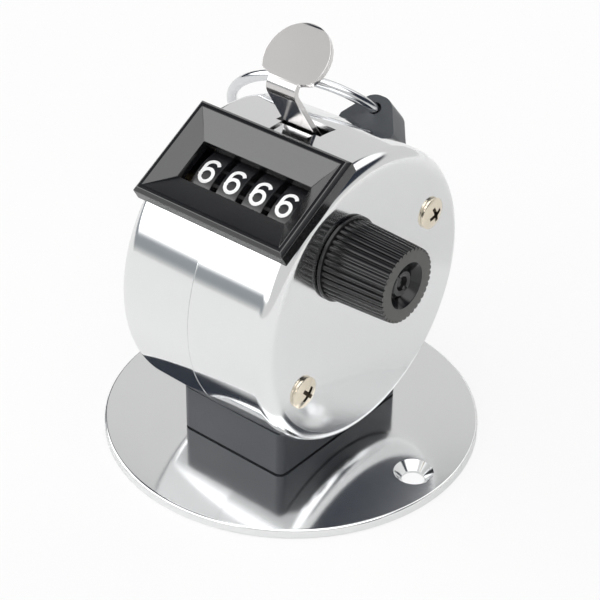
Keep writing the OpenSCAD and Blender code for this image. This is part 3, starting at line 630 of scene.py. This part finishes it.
class COUNTER_OT_case(bpy.types.Operator):
    """Two plated cups that meet at the seam, with the lever slot and the opening under the bezel"""

    bl_idname = "counter.case"
    bl_label = "Case cups"

    def execute(self, context):
        satin_sides()
        for side, name, node in ((-1, "left_cup", "left_case"), (1, "right_cup", "right_case")):
            cup = self.cup(side, name)
            paint(cup, "Drum plating")
            hand_over(cup, "frame", "chrome", node)
        return {"FINISHED"}

    def shape(self):
        """Seam radius, half width, edge radius, end of the straight part and centre of the edge."""
        s = settings().case
        r, half, edge = in_mm(s.diameter) / 2, in_mm(s.width) / 2, in_mm(s.edge_radius)
        x_end = half - edge + edge * math.sin(s.draft)
        r_end = r - math.tan(s.draft) * x_end
        centre = (x_end - edge * math.sin(s.draft), r_end - edge * math.cos(s.draft))
        return r, half, edge, x_end, centre

    def cup(self, side, name):
        s = settings().case
        wall, seam, slope = in_mm(s.wall), in_mm(s.seam) / 2, math.tan(s.draft)
        r, half, edge, x_end, centre = self.shape()
        lean, lip, steps = 90 - math.degrees(s.draft), 0.06, 6
        r_seam = r - slope * (seam + lip)
        outer = [(seam, r_seam - lip), (seam + 0.3 * lip, r_seam - 0.3 * lip), (seam + lip, r_seam)]
        straight = [seam + lip + (x_end - seam - lip) * k / steps for k in range(1, steps)]
        outer += [(x, r - slope * x) for x in straight]
        outer += arc(centre, edge, lean, 0, 14)
        inner = arc(centre, edge - wall, 0, lean, 6)
        profile = outer + [(half, 0), (half - wall, 0)] + inner + [(seam, r_seam - wall)]
        cup = new_object(name, *turned([(y, x) for x, y in profile], 288), along_x(DRUM))
        if side < 0:
            cup.data.transform(Matrix.Scale(-1, 4, (1, 0, 0)))
            tidy(cup.data)
        low, high, far = 40, 60, 20
        notch_half, notch_front, notch_back, notch_depth = 2.9, -5.1, 0.6, 0.4
        slot_half, slot_front, slot_back = 3.9, 0.5, 4.03
        shaft_hole = 1.8
        notch = block("notch", (-notch_half, notch_front, low), (notch_half, notch_back, high))
        carve(notch, [rod("notch_floor", r - notch_depth, -far, far, along_x(DRUM), 256)])
        carve(cup, [
            block("facet", (-far, -far, 0), (far, far, far), window_place(FACET)),
            block("slot", (-slot_half, slot_front, low), (slot_half, slot_back, high)),
            notch,
            rod("shaft_hole", shaft_hole, 5, far, along_x(WHEEL_AXIS), 48),
        ])
        self.true_normals(cup)
        return cup

    def true_normals(self, cup):
        """The turned faces take the normals of the exact round form, so that reflections run clean."""
        draft, close = settings().case.draft, 4e-3
        r, _, edge, x_end, centre = self.shape()
        soften(cup, 30)
        mesh = cup.data
        exact = {}
        for v in mesh.vertices:
            p = v.co / MM - DRUM
            x, radius = abs(p.x), math.hypot(p.y, p.z)
            sign = math.copysign(1, p.x)
            if radius < 1e-6:
                continue
            out = Vector((0, p.y / radius, p.z / radius))
            if x <= x_end + 1e-4 and abs(radius - (r - math.tan(draft) * x)) < close:
                exact[v.index] = Vector((sign * math.sin(draft), 0, 0)) + out * math.cos(draft)
            elif x > x_end and abs(math.hypot(x - centre[0], radius - centre[1]) - edge) < close:
                exact[v.index] = Vector((sign * (x - centre[0]), 0, 0)) + out * (radius - centre[1])
                exact[v.index] /= edge
        normals = [tuple(n.vector) for n in mesh.corner_normals]
        for face in mesh.polygons:
            if all(k in exact for k in face.vertices):
                middle = sum((exact[k] for k in face.vertices), Vector()).normalized()
                if middle.dot(face.normal) > 0.97:
                    for loop in face.loop_indices:
                        normals[loop] = tuple(exact[mesh.loops[loop].vertex_index].normalized())
        mesh.normals_split_custom_set(normals)


class COUNTER_OT_bezel(bpy.types.Operator):
    """Black frame round the window with sloping inner faces"""

    bl_idname = "counter.bezel"
    bl_label = "Bezel"

    def execute(self, context):
        s = settings().bezel
        w, h, t = in_mm(s.width), in_mm(s.height), in_mm(s.standoff)
        bevel, rim, deep = in_mm(s.bevel), in_mm(s.rim), in_mm(s.slope_depth)
        ww, wh = in_mm(s.window_width), in_mm(s.window_height)
        mouth, step, foot = 2 * (bevel + rim), 3.4, -0.8
        rings = [
            (w, h, 0.0), (w, h, t - bevel),
            (w - 2 * bevel, h - 2 * bevel, t), (w - mouth, h - mouth, t),
            (ww, wh, t - deep), (ww, wh, foot),
            (w - step, h - step, foot), (w - step, h - step, 0.0),
        ]
        corners = ((1, 1), (-1, 1), (-1, -1), (1, -1))
        skin = loft([[(x * a / 2, y * b / 2, z) for x, y in corners] for a, b, z in rings], closed=True)
        bezel = new_object("window_bezel", *skin, window_place(FACET))
        ease_edges(bezel, 0.09, 3, 15)
        keep_flats(bezel, 25)
        paint(bezel, "Gloss black")
        hand_over(bezel, "frame", "black_plastic", "bezel")
        return {"FINISHED"}


class COUNTER_OT_wheels(bpy.types.Operator):
    """Number bands on the four wheels, with the digits nought to nine"""

    bl_idname = "counter.wheels"
    bl_label = "Number wheels"

    def execute(self, context):
        s = settings().wheels
        r, half, pitch = in_mm(s.diameter) / 2, in_mm(s.band) / 2, in_mm(s.pitch)
        glyphs = [self.glyph(k) for k in range(10)]
        cover, overhang = 0.02, 0.004
        edge = [(r - 0.15, half + overhang), (r - 0.08, half + overhang), (r + cover, half - 0.1)]
        for index, body in enumerate(("thousands", "hundreds", "tens", "units")):
            x = (index - 1.5) * pitch
            profile = [(radius, x - out) for radius, out in edge]
            profile += [(radius, x + out) for radius, out in reversed(edge)]
            band = new_object(f"{body}_band", *turned(profile, 160), along_x(WHEEL_AXIS))
            soften(band, 40)
            paint(band, "Band black")
            hand_over(band, body, "wheel_plastic")
            points, faces = [], []
            for k, (glyph_points, glyph_faces) in enumerate(glyphs):
                first = len(points)
                turn = -(k - s.shown) * TAU / 10
                for u, v, w in glyph_points:
                    a = turn - v / r
                    out = WINDOW_OUT * math.cos(a) - WINDOW_UP * math.sin(a)
                    points.append(WHEEL_AXIS + out * (r + cover + w) + Vector((x + u, 0, 0)))
                faces += [[first + i for i in f] for f in glyph_faces]
            digits = new_object(f"{body}_digits", points, faces)
            soften(digits, 40)
            paint(digits, "Digit white")
            hand_over(digits, body, "wheel_plastic")
        return {"FINISHED"}

    def strokes(self, digit):
        """The middle lines of a digit in a box two wide and four high."""
        six = oval(0.05, 0.8, 1.05, 1.2, 28, 178) + oval(0, -0.8, 1, 1.2, 180, 545)
        return (
            [oval(0, 0, 1, 2, 90, 455)],
            [[(-0.7, 1.2), (0.15, 2), (0.15, -2)]],
            [oval(0, 0.95, 1, 1.05, 160, -35) + [(-1, -2), (1, -2)]],
            [oval(0, 1.02, 0.9, 0.98, 150, -90), oval(0, -0.98, 1, 1.02, 90, -150)],
            [[(0.45, -2), (0.45, 2)], [(0.45, 2), (-1, -0.9), (1, -0.9)]],
            [[(0.85, 2), (-0.7, 2), (-0.85, 0.15)] + oval(0, -0.75, 1, 1.25, 140, -150)],
            [six],
            [[(-1, 2), (1, 2), (-0.35, -2)]],
            [oval(0, 1.05, 0.85, 0.95, 90, 455), oval(0, -0.95, 1, 1.05, 90, 455)],
            [[(-x, -y) for x, y in six]],
        )[digit]

    def glyph(self, digit):
        """Points and faces of one raised digit, in short steps so that it can follow the wheel."""
        s = settings().wheels
        half, raised, step, sharpest = in_mm(s.stroke) / 2, 0.03, 0.2, 0.65
        wide, tall = in_mm(s.digit_width) / 2 - half, in_mm(s.digit_height) / 4 - half / 2
        points, faces = [], []
        for line in self.strokes(digit):
            line = [Vector((x * wide, y * tall)) for x, y in line]
            path = [line[0]]
            for end in line[1:]:
                steps = max(1, math.ceil((end - path[-1]).length / step))
                start = path[-1]
                path += [start.lerp(end, (k + 1) / steps) for k in range(steps)]
            rings, last = [], len(path) - 1
            for k, place in enumerate(path):
                ahead = (path[min(k + 1, last)] - place).normalized()
                behind = (place - path[max(k - 1, 0)]).normalized()
                along = (ahead + behind).normalized()
                across = Vector((-along.y, along.x)) * half / max(sharpest, along.dot(ahead or behind))
                left, right = place + across, place - across
                rings.append([(*left, -raised), (*left, raised), (*right, raised), (*right, -raised)])
            first = len(points)
            skin, quads = loft(rings)
            points += skin
            faces += [[first + i for i in face] for face in quads]
        return points, faces


class COUNTER_OT_knob(bpy.types.Operator):
    """Ribbed reset knob with the plug screw in its end"""

    bl_idname = "counter.knob"
    bl_label = "Reset knob"

    def execute(self, context):
        s = settings().knob
        flange, thick, long = in_mm(s.flange_diameter) / 2, in_mm(s.flange_thickness), in_mm(s.length)
        root, end, rib = in_mm(s.root_diameter) / 2, in_mm(s.end_diameter) / 2, in_mm(s.rib_height)
        recess, bowl, deep = in_mm(s.recess) / 2, in_mm(s.recess_floor) / 2, in_mm(s.recess_depth)
        foot, bore = 13.62, 1.52
        chamfer, flange_round, ease = 0.15, 0.2, 0.1
        top = foot + long
        shoulder = foot + thick - flange_round
        profile = [(bore, foot), (flange - chamfer, foot), (flange, foot + chamfer), (flange, shoulder)]
        profile += arc((flange - flange_round, shoulder), flange_round, 20, 90, 4)
        profile += [(root - rib, foot + thick), (end - rib + 0.02, top - ease)]
        profile += arc((end - rib - 0.08, top - ease), ease, 20, 90, 3)
        profile += [(recess + ease, top), (recess, top - ease), (bowl, top - deep), (bore, top - deep)]
        core = new_object("reset_knob_moulding", *turned(profile, 152))
        soften(core, 35)
        pitch = TAU / s.ribs
        sections = []
        for share in [k / 6 for k in range(7)]:
            h = foot + thick - ease + (long - thick) * share
            outer = root + (end - root) * share
            if share == 1:
                h, outer = top - 0.01, outer - 0.05
            flank = [(outer - rib - ease, 0.44), (outer - 0.45 * rib, 0.39), (outer - 0.08 * rib, 0.26)]
            section = [(rad, -a) for rad, a in flank] + [(outer, 0.0)] + flank[::-1]
            sections.append([
                (rad * math.cos(a * pitch), rad * math.sin(a * pitch), h) for rad, a in section
            ])
        bar = new_object("rib", *loft(sections))
        soften(bar, 50)
        grow(core, repeat_tree(), Rib=bar, Count=s.ribs, Material=finish("Knob black"))
        bpy.data.objects.remove(bar)
        core.data.transform(Matrix.Translation(WHEEL_AXIS * MM) @ ALONG_X)
        paint(core, "Knob black", "Knob face")
        for face in core.data.polygons:
            face.material_index = 1 if face.normal.x > 0.9 and face.center.x > (top - ease) * MM else 0
        hand_over(core, "reset_shaft", "black_plastic", "reset_knob")

        floor = top - deep
        plug_r, brim, well_r, slot_half = 2.0, 0.85, 1.05, 0.28
        head = [(0, 0), (plug_r, 0), (plug_r, 0.6), (1.75, brim), (1.2, brim)]
        head += [(well_r, 0.8), (well_r, 0.35), (0, 0.35)]
        head = [(radius, floor + h) for radius, h in head]
        plug = new_object("knob_plug", *turned(head, 72), along_x(WHEEL_AXIS))
        slot_turn = along_x(WHEEL_AXIS) @ Matrix.Rotation(math.radians(35), 4, "Z")
        carve(plug, [block("driver", (-3, -slot_half, floor + 0.6), (3, slot_half, floor + 2), slot_turn)])
        soften(plug, 35)
        paint(plug, "Knob black")
        hand_over(plug, "reset_shaft", "plug_black", "knob_screw")
        return {"FINISHED"}


class COUNTER_OT_lever(bpy.types.Operator):
    """Bent thumb lever with its round pad, barrel and drive arm"""

    bl_idname = "counter.lever"
    bl_label = "Thumb lever"

    def execute(self, context):
        strip = self.strip()
        bore, tube_r, half, ease, sleeve, sleeve_end = 0.85, 3.0, 3.2, 0.15, 1.7, 11.3
        barrel = [(bore, -half), (tube_r - ease, -half), (tube_r, ease - half)]
        barrel += [(tube_r, half - ease), (tube_r - ease, half), (sleeve, half)]
        barrel += [(sleeve, sleeve_end), (bore, sleeve_end)]
        tube = new_object("barrel", *turned(barrel, 96), along_x(LEVER_AXIS))
        lean = math.atan2(WHEEL_AXIS.z - LEVER_AXIS.z, WHEEL_AXIS.y - LEVER_AXIS.y) + math.radians(10)
        arm_reach, arm_low, arm_high = 5.2, 10.4, 11.2
        outline = arc((0, 0), 1.65, 90, 270, 16) + arc((arm_reach, 0), 1.3, -90, 90, 16)
        arm = new_object(
            "arm", *prism(outline, arm_low, arm_high),
            Matrix.Translation(LEVER_AXIS) @ Matrix.Rotation(lean, 4, "X")
            @ Matrix(((0, 0, 1, 0), (1, 0, 0, 0), (0, 1, 0, 0), (0, 0, 0, 1))),
        )
        carve(strip, [rod("pin_room", 1.2, -5, 5, along_x(LEVER_AXIS), 48)])
        # The barrel and arm take a dark finish that paints the shade inside the lever slot
        for part, name in ((strip, "Satin steel"), (tube, "Dark oxide"), (arm, "Dark oxide")):
            paint(part, name)
        lever = self.joined("thumb_lever_strip", [strip, tube, arm])
        hand_over(lever, "lever", "lever_steel", "thumb_lever")
        return {"FINISHED"}

    def joined(self, name, parts):
        """One object from several, with a material slot for each different material."""
        shape = bmesh.new()
        mesh = bpy.data.meshes.new(name)
        for part in parts:
            material = part.data.materials[0]
            if material.name not in mesh.materials:
                mesh.materials.append(material)
            known = len(shape.faces)
            shape.from_mesh(part.data)
            shape.faces.ensure_lookup_table()
            for face in shape.faces[known:]:
                face.material_index = mesh.materials.find(material.name)
        shape.to_mesh(mesh)
        shape.free()
        for part in parts:
            bpy.data.objects.remove(part)
        obj = bpy.data.objects.new(name, mesh)
        bpy.context.scene.collection.objects.link(obj)
        keep_flats(obj, 38)
        return obj

    def strip(self):
        """The sheet swept along its bent middle line by stations of place, direction and half width."""
        s = settings().lever
        t, reach, rise, bend = in_mm(s.thickness) / 2, in_mm(s.reach), in_mm(s.rise), in_mm(s.bend)
        pad, wide, neck = in_mm(s.pad) / 2, in_mm(s.width) / 2, in_mm(s.neck) / 2
        up = Vector((0, -math.sin(s.lean), math.cos(s.lean)))
        back = Vector((0, math.sin(s.pad_lean), math.cos(s.pad_lean)))
        corner = LEVER_AXIS + up * reach
        turn = s.lean + s.pad_lean
        tangent = bend * math.tan(turn / 2)
        middle = rise - pad
        side = Vector((0, math.cos(s.lean), math.sin(s.lean)))
        centre = corner - up * tangent + side * bend
        widening, thinnest, ease = 0.8, 0.12, 0.12
        stations = []
        for k in range(9):
            d = (reach - tangent) * k / 8
            stations.append((LEVER_AXIS + up * d, up, wide + (neck - wide) * d / reach))
        for k in range(1, 12):
            a = -s.lean + turn * k / 12
            direction = Vector((0, math.sin(a), math.cos(a)))
            out = Vector((0, -math.cos(a), math.sin(a)))
            stations.append((centre + out * bend, direction, neck))
        for k in range(41):
            d = tangent + (rise - tangent) * (1 - math.cos(math.pi * k / 40)) / 2
            reach_out = math.sqrt(max(0.0, pad * pad - (d - middle) ** 2))
            blend = min(1.0, max(0.0, (d - tangent) / widening))
            blend = blend * blend * (3 - 2 * blend)
            half = neck + (reach_out - neck) * blend if d < middle else reach_out
            stations.append((corner + back * d, back, max(half, thinnest)))
        rings = []
        for place, direction, half in stations:
            out = Vector((0, -direction.z, direction.y))
            section = rounded_rectangle(2 * half, 2 * t, min(ease, half * 0.9), 4)
            rings.append([place + Vector((x, 0, 0)) + out * y for x, y in section])
        return new_object("strip", *loft(rings))


class COUNTER_OT_ring(bpy.types.Operator):
    """Wire finger ring and the lug that carries it"""

    bl_idname = "counter.ring"
    bl_label = "Finger ring"

    def execute(self, context):
        s = settings().ring
        big, wire = in_mm(s.diameter) / 2, in_mm(s.wire) / 2
        place = RING_PLACE @ Matrix.Rotation(-s.tilt, 4, "Y") @ Matrix.Translation((-big, 0, 0))
        section = [(big + x, y) for x, y in arc((0, 0), wire, 0, 345, 23)]
        ring = new_object("finger_ring_wire", *turned(section, 240), place)
        soften(ring, 60)
        paint(ring, "Ring plating")
        hand_over(ring, "ring", "chrome", "finger_ring")

        w, top, t = in_mm(s.lug_width) / 2, in_mm(s.lug_top) / 2, in_mm(s.lug_thickness) / 2
        h, tip, drum, foot, eye = in_mm(s.lug_height), 2.7, 22.3, 0.8, 0.95
        crown = drum + h - tip
        flank = math.degrees(math.atan2(w - top, crown - drum - 1))
        outline = [(-w, drum - 1), (w, drum - 1), (w, drum + foot)]
        outline += arc((top - tip, crown), tip, flank - 8, 90, 12)
        outline += arc((tip - top, crown), tip, 90, 188 - flank, 12)
        outline += [(-w, drum + foot)]
        upright = Matrix(((1, 0, 0, 0), (0, 0, 1, 0), (0, 1, 0, 0), (0, 0, 0, 1)))
        lug = new_object("ring_lug_casting", *prism(outline, -t, t), LUG_PLACE @ upright)
        carve(lug, [
            rod("seat", DRUM_SEAT, -20, 20, along_x(DRUM), 256),
            rod("eye", eye, -20, 20, RING_PLACE @ Matrix.Rotation(math.pi / 2, 4, "X"), 48),
        ])
        ease_edges(lug, 0.35, 3, 35)
        keep_flats(lug, 30)
        paint(lug, "Slate paint")
        hand_over(lug, "frame", "lug_metal", "ring_lug")
        return {"FINISHED"}


class COUNTER_OT_screws(bpy.types.Operator):
    """Pan-head screws with a cross recess, two in each side of the case"""

    bl_idname = "counter.screws"
    bl_label = "Case screws"

    def execute(self, context):
        screw = self.screw()
        x, upper, lower = 13.5, (13.9, 35.0), (-13.9, 19.0)
        places = [
            ((x, *upper), 20, 90), ((x, *lower), 43, 90),
            ((-x, *upper), 63, -90), ((-x, *lower), 12, -90),
        ]
        mesh = bpy.data.meshes.new("case_screws")
        mesh.from_pydata([Vector(place) * MM for place, _, _ in places], [], [])
        turn = mesh.attributes.new("turn", "FLOAT_VECTOR", "POINT")
        for item, (_, roll, face) in zip(turn.data, places):
            rolled = Matrix.Rotation(math.radians(roll), 3, "X")
            item.vector = (rolled @ Matrix.Rotation(math.radians(face), 3, "Y")).to_euler()
        screws = bpy.data.objects.new("case_screws", mesh)
        bpy.context.scene.collection.objects.link(screws)
        grow(screws, scatter_tree(), Piece=screw, Material=finish("Warm nickel"))
        bpy.data.objects.remove(screw)
        # The faces of the cross recess take a dark finish: painted shade
        paint(screws, "Warm nickel", "Recess shade")
        for face, deep in zip(screws.data.polygons, screws.data.attributes["recess"].data):
            face.material_index = 1 if deep.value else 0
        hand_over(screws, "frame", "nickel", "left_case_screws", "right_case_screws")
        return {"FINISHED"}

    def screw(self):
        """One screw standing on the XY plane, with the faces of its cross recess marked."""
        s = settings().screws
        r, edge, dome = in_mm(s.diameter) / 2, in_mm(s.edge), in_mm(s.height)
        ball = (r * r + (dome - edge) ** 2) / (2 * (dome - edge))
        start = math.degrees(math.acos(r / ball))
        shank, foot = 1.2, -1.5
        head = [(0, foot), (shank, foot), (shank, 0), (r - 0.08, 0), (r, 0.1)]
        head += arc((0, dome - ball), ball, start, 90, 12)
        screw = new_object("screw", *turned(head, 96))
        arm, half, floor = in_mm(s.cross) / 2, in_mm(s.cross_width) / 2, dome - in_mm(s.cross_depth)
        cross = []
        for quarter in (0, 90):
            high = [(-arm, -half), (arm, -half), (arm, half), (-arm, half)]
            rings = [[(0.75 * x, 0.7 * y, floor) for x, y in high]]
            rings += [[(x, y, z) for x, y in high] for z in (dome, dome + 1)]
            turn = Matrix.Rotation(math.radians(quarter), 4, "Z")
            cross.append(new_object("cross", *loft(rings), turn))
        carve(screw, cross)
        ease_edges(screw, 0.04, 2, 40)
        soften(screw, 30)
        deep = screw.data.attributes.new("recess", "BOOLEAN", "FACE")
        for mark, face in zip(deep.data, screw.data.polygons):
            x, y, z = face.center / MM
            skin = dome - ball + math.sqrt(ball * ball - x * x - y * y)
            mark.value = math.hypot(x, y) < arm and 0.0 < z < skin - 0.05
        return screw


class COUNTER_OT_inside(bpy.types.Operator):
    """Finishes of the pieces inside the case and under the base"""

    bl_idname = "counter.inside"
    bl_label = "Inside"

    def execute(self, context):
        finishes = {
            "Plain steel": (
                "stand_screws", "anchor_bar", "left_plate", "right_plate", "tie_posts", "main_shaft",
                "shaft_clip", "pinion_shaft", "lever_pin", "drive_pawl", "pawl_pin", "detent_post",
                "lug_washer",
            ),
            "Spring wire": ("lever_spring", "pawl_spring", "detent_spring"),
            "Turned brass": ("left_spacer", "thrust_washer", "pinion_spacers"),
            "Pinion cream": ("thousands_pinion", "hundreds_pinion", "tens_pinion"),
            "Band black": ("thousands_wheel", "hundreds_wheel", "tens_wheel", "units_wheel"),
            "Warm nickel": ("lug_screw",),
        }
        for name, nodes in finishes.items():
            for node in nodes:
                paint(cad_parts[node], name)
        return {"FINISHED"}


class COUNTER_OT_stage(bpy.types.Operator):
    """Pale floor, soft studio light and the camera"""

    bl_idname = "counter.stage"
    bl_label = "Stage"

    def execute(self, context):
        self.floor()
        self.light()
        self.camera()
        context.scene.view_settings.view_transform = "Standard"
        return {"FINISHED"}

    def floor(self):
        s = settings().stage
        radius, drop, corners, white_share = 3000, -0.02, 64, 0.82
        outline = arc((0, 0), radius, 0, 360, corners)[:-1]
        floor = new_object("floor", [(x, y, drop) for x, y in outline], [tuple(range(corners))])
        pale = bpy.data.materials.new("Pale floor")
        pale.use_nodes = True
        tree = pale.node_tree
        tree.nodes.clear()
        matt = add_node(tree, "ShaderNodeBsdfDiffuse", {"Color": (*s.floor, 1.0)})
        white = tree.nodes.new("ShaderNodeEmission")
        seen = tree.nodes.new("ShaderNodeLightPath").outputs["Is Camera Ray"]
        share = add_node(tree, "ShaderNodeMath", {0: seen, 1: white_share}, operation="MULTIPLY")
        mixed = add_node(tree, "ShaderNodeMixShader", {
            0: share.outputs[0], 1: matt.outputs[0], 2: white.outputs[0],
        })
        add_node(tree, "ShaderNodeOutputMaterial", {"Surface": mixed.outputs[0]})
        floor.data.materials.append(pale)
        card_turn, card_half, card_front, card_back, card_top = -39.3, 90, 60, 62, 39
        behind = Matrix.Rotation(math.radians(card_turn), 4, "Z")
        card = block("bounce_card", (-card_half, card_front, 0), (card_half, card_back, card_top), behind)
        card.data.materials.append(pale)
        card.visible_camera = False
        card.visible_diffuse = False
        card.visible_shadow = False

    def light(self):
        """An even room with a dim low band, a softbox, three dark patches and two small lights."""
        s = settings().stage
        world = bpy.data.worlds.new("Studio")
        bpy.context.scene.world = world
        world.use_nodes = True
        tree = world.node_tree
        tree.nodes.clear()
        way = tree.nodes.new("ShaderNodeTexCoord").outputs["Generated"]
        split = add_node(tree, "ShaderNodeSeparateXYZ", {0: way})

        def ramp(value, low, high):
            spread = {"Value": value, "From Min": low, "From Max": high}
            made = add_node(tree, "ShaderNodeMapRange", spread, interpolation_type="SMOOTHSTEP")
            return made.outputs["Result"]

        def towards(direction, low, high):
            pair = {0: way, 1: direction}
            dot = add_node(tree, "ShaderNodeVectorMath", pair, operation="DOT_PRODUCT")
            return ramp(dot.outputs["Value"], low, high)

        def both(first, second):
            pair = {0: first, 1: second}
            return add_node(tree, "ShaderNodeMath", pair, operation="MULTIPLY").outputs[0]

        def mix(factor, first, second):
            sides = {"Factor": factor, "A": first, "B": second}
            return add_node(tree, "ShaderNodeMix", sides, data_type="RGBA").outputs["Result"]

        depth, height = split.outputs["Y"], split.outputs["Z"]
        band = both(towards((-0.866, -0.5, 0.0), 0.45, 0.7), ramp(height, 0.27, 0.15))
        band = both(band, ramp(height, -0.02, 0.07))
        box = both(towards((-0.707, -0.707, 0.0), 0.42, 0.62), ramp(height, 0.15, 0.27))
        box = both(box, ramp(height, 0.69, 0.6))
        cap = towards((0.3, -0.2, 0.93), 0.8, 0.9)
        ceiling = both(towards((0.3, 0.0, 1.0), 0.48, 0.57), ramp(depth, -0.25, -0.12))
        shade = both(towards((0.0, -1.0, 1.0), 0.1, 0.16), ramp(depth, 0.2, 0.4))
        strip = towards((0.05, 0.66, 0.75), 0.92, 0.97)
        flag = towards((-0.95, 0.31, 0.03), 0.9, 0.95)
        sky = (*s.room, 1.0)
        for patch, tone in (
            (band, s.band), (box, [s.box_level] * 3), (ceiling, s.ceiling), (shade, s.ceiling),
            (flag, s.ceiling), (strip, [s.strip_level] * 3), (cap, [s.cap_level] * 3),
        ):
            sky = mix(patch, sky, (*tone, 1.0))
        seen = tree.nodes.new("ShaderNodeLightPath").outputs["Is Camera Ray"]
        shown = mix(seen, sky, (1.0, 1.0, 1.0, 1.0))
        air = add_node(tree, "ShaderNodeBackground", {"Color": shown})
        add_node(tree, "ShaderNodeOutputWorld", {"Surface": air.outputs[0]})

    def camera(self):
        data = bpy.data.cameras.new("Camera")
        data.sensor_width = 36.0
        data.lens = 110.92
        data.clip_start, data.clip_end = 0.01, 20.0
        camera = bpy.data.objects.new("Camera", data)
        bpy.context.scene.collection.objects.link(camera)
        turn, lift, roll = math.radians(39.29), math.radians(33.68), math.radians(1.01)
        level = math.cos(lift)
        back = Vector((math.sin(turn) * level, -math.cos(turn) * level, math.sin(lift)))
        right = Vector((math.cos(turn), math.sin(turn), 0.0))
        up = back.cross(right)
        across = right * math.cos(roll) + up * math.sin(roll)
        upright = up * math.cos(roll) - right * math.sin(roll)
        middle, aside, below, distance = Vector((0, 0, 30)), 1.02, 7.30, 262.57
        target = middle + right * aside - up * below
        place = (target + back * distance) * MM
        camera.matrix_world = Matrix((
            (across.x, upright.x, back.x, place.x),
            (across.y, upright.y, back.y, place.y),
            (across.z, upright.z, back.z, place.z),
            (0, 0, 0, 1),
        ))
        bpy.context.scene.camera = camera


PIECES = (
    COUNTER_OT_stage, COUNTER_OT_stand, COUNTER_OT_case, COUNTER_OT_bezel, COUNTER_OT_wheels,
    COUNTER_OT_knob, COUNTER_OT_lever, COUNTER_OT_ring, COUNTER_OT_screws, COUNTER_OT_inside,
)


class COUNTER_PT_panel(bpy.types.Panel):
    bl_idname = "COUNTER_PT_panel"
    bl_label = "Tally counter"
    bl_space_type = "VIEW_3D"
    bl_region_type = "UI"
    bl_category = "Counter"

    def draw(self, context):
        for piece in PIECES:
            self.layout.operator(piece.bl_idname)


CLASSES = (
    StandSettings, CaseSettings, BezelSettings, WheelSettings, KnobSettings, LeverSettings, RingSettings,
    ScrewSettings, StageSettings, CounterSettings, *PIECES, COUNTER_PT_panel,
)


def register():
    for item in CLASSES:
        bpy.utils.register_class(item)
    bpy.types.Scene.tally_counter = bpy.props.PointerProperty(type=CounterSettings)


def unregister():
    del bpy.types.Scene.tally_counter
    for item in reversed(CLASSES):
        bpy.utils.unregister_class(item)


def main():
    register()
    bpy.ops.counter.stage()
    bpy.ops.counter.stand()
    bpy.ops.counter.case()
    bpy.ops.counter.bezel()
    bpy.ops.counter.wheels()
    bpy.ops.counter.knob()
    bpy.ops.counter.lever()
    bpy.ops.counter.ring()
    bpy.ops.counter.screws()
    bpy.ops.counter.inside()


if __name__ == "__main__":
    main()
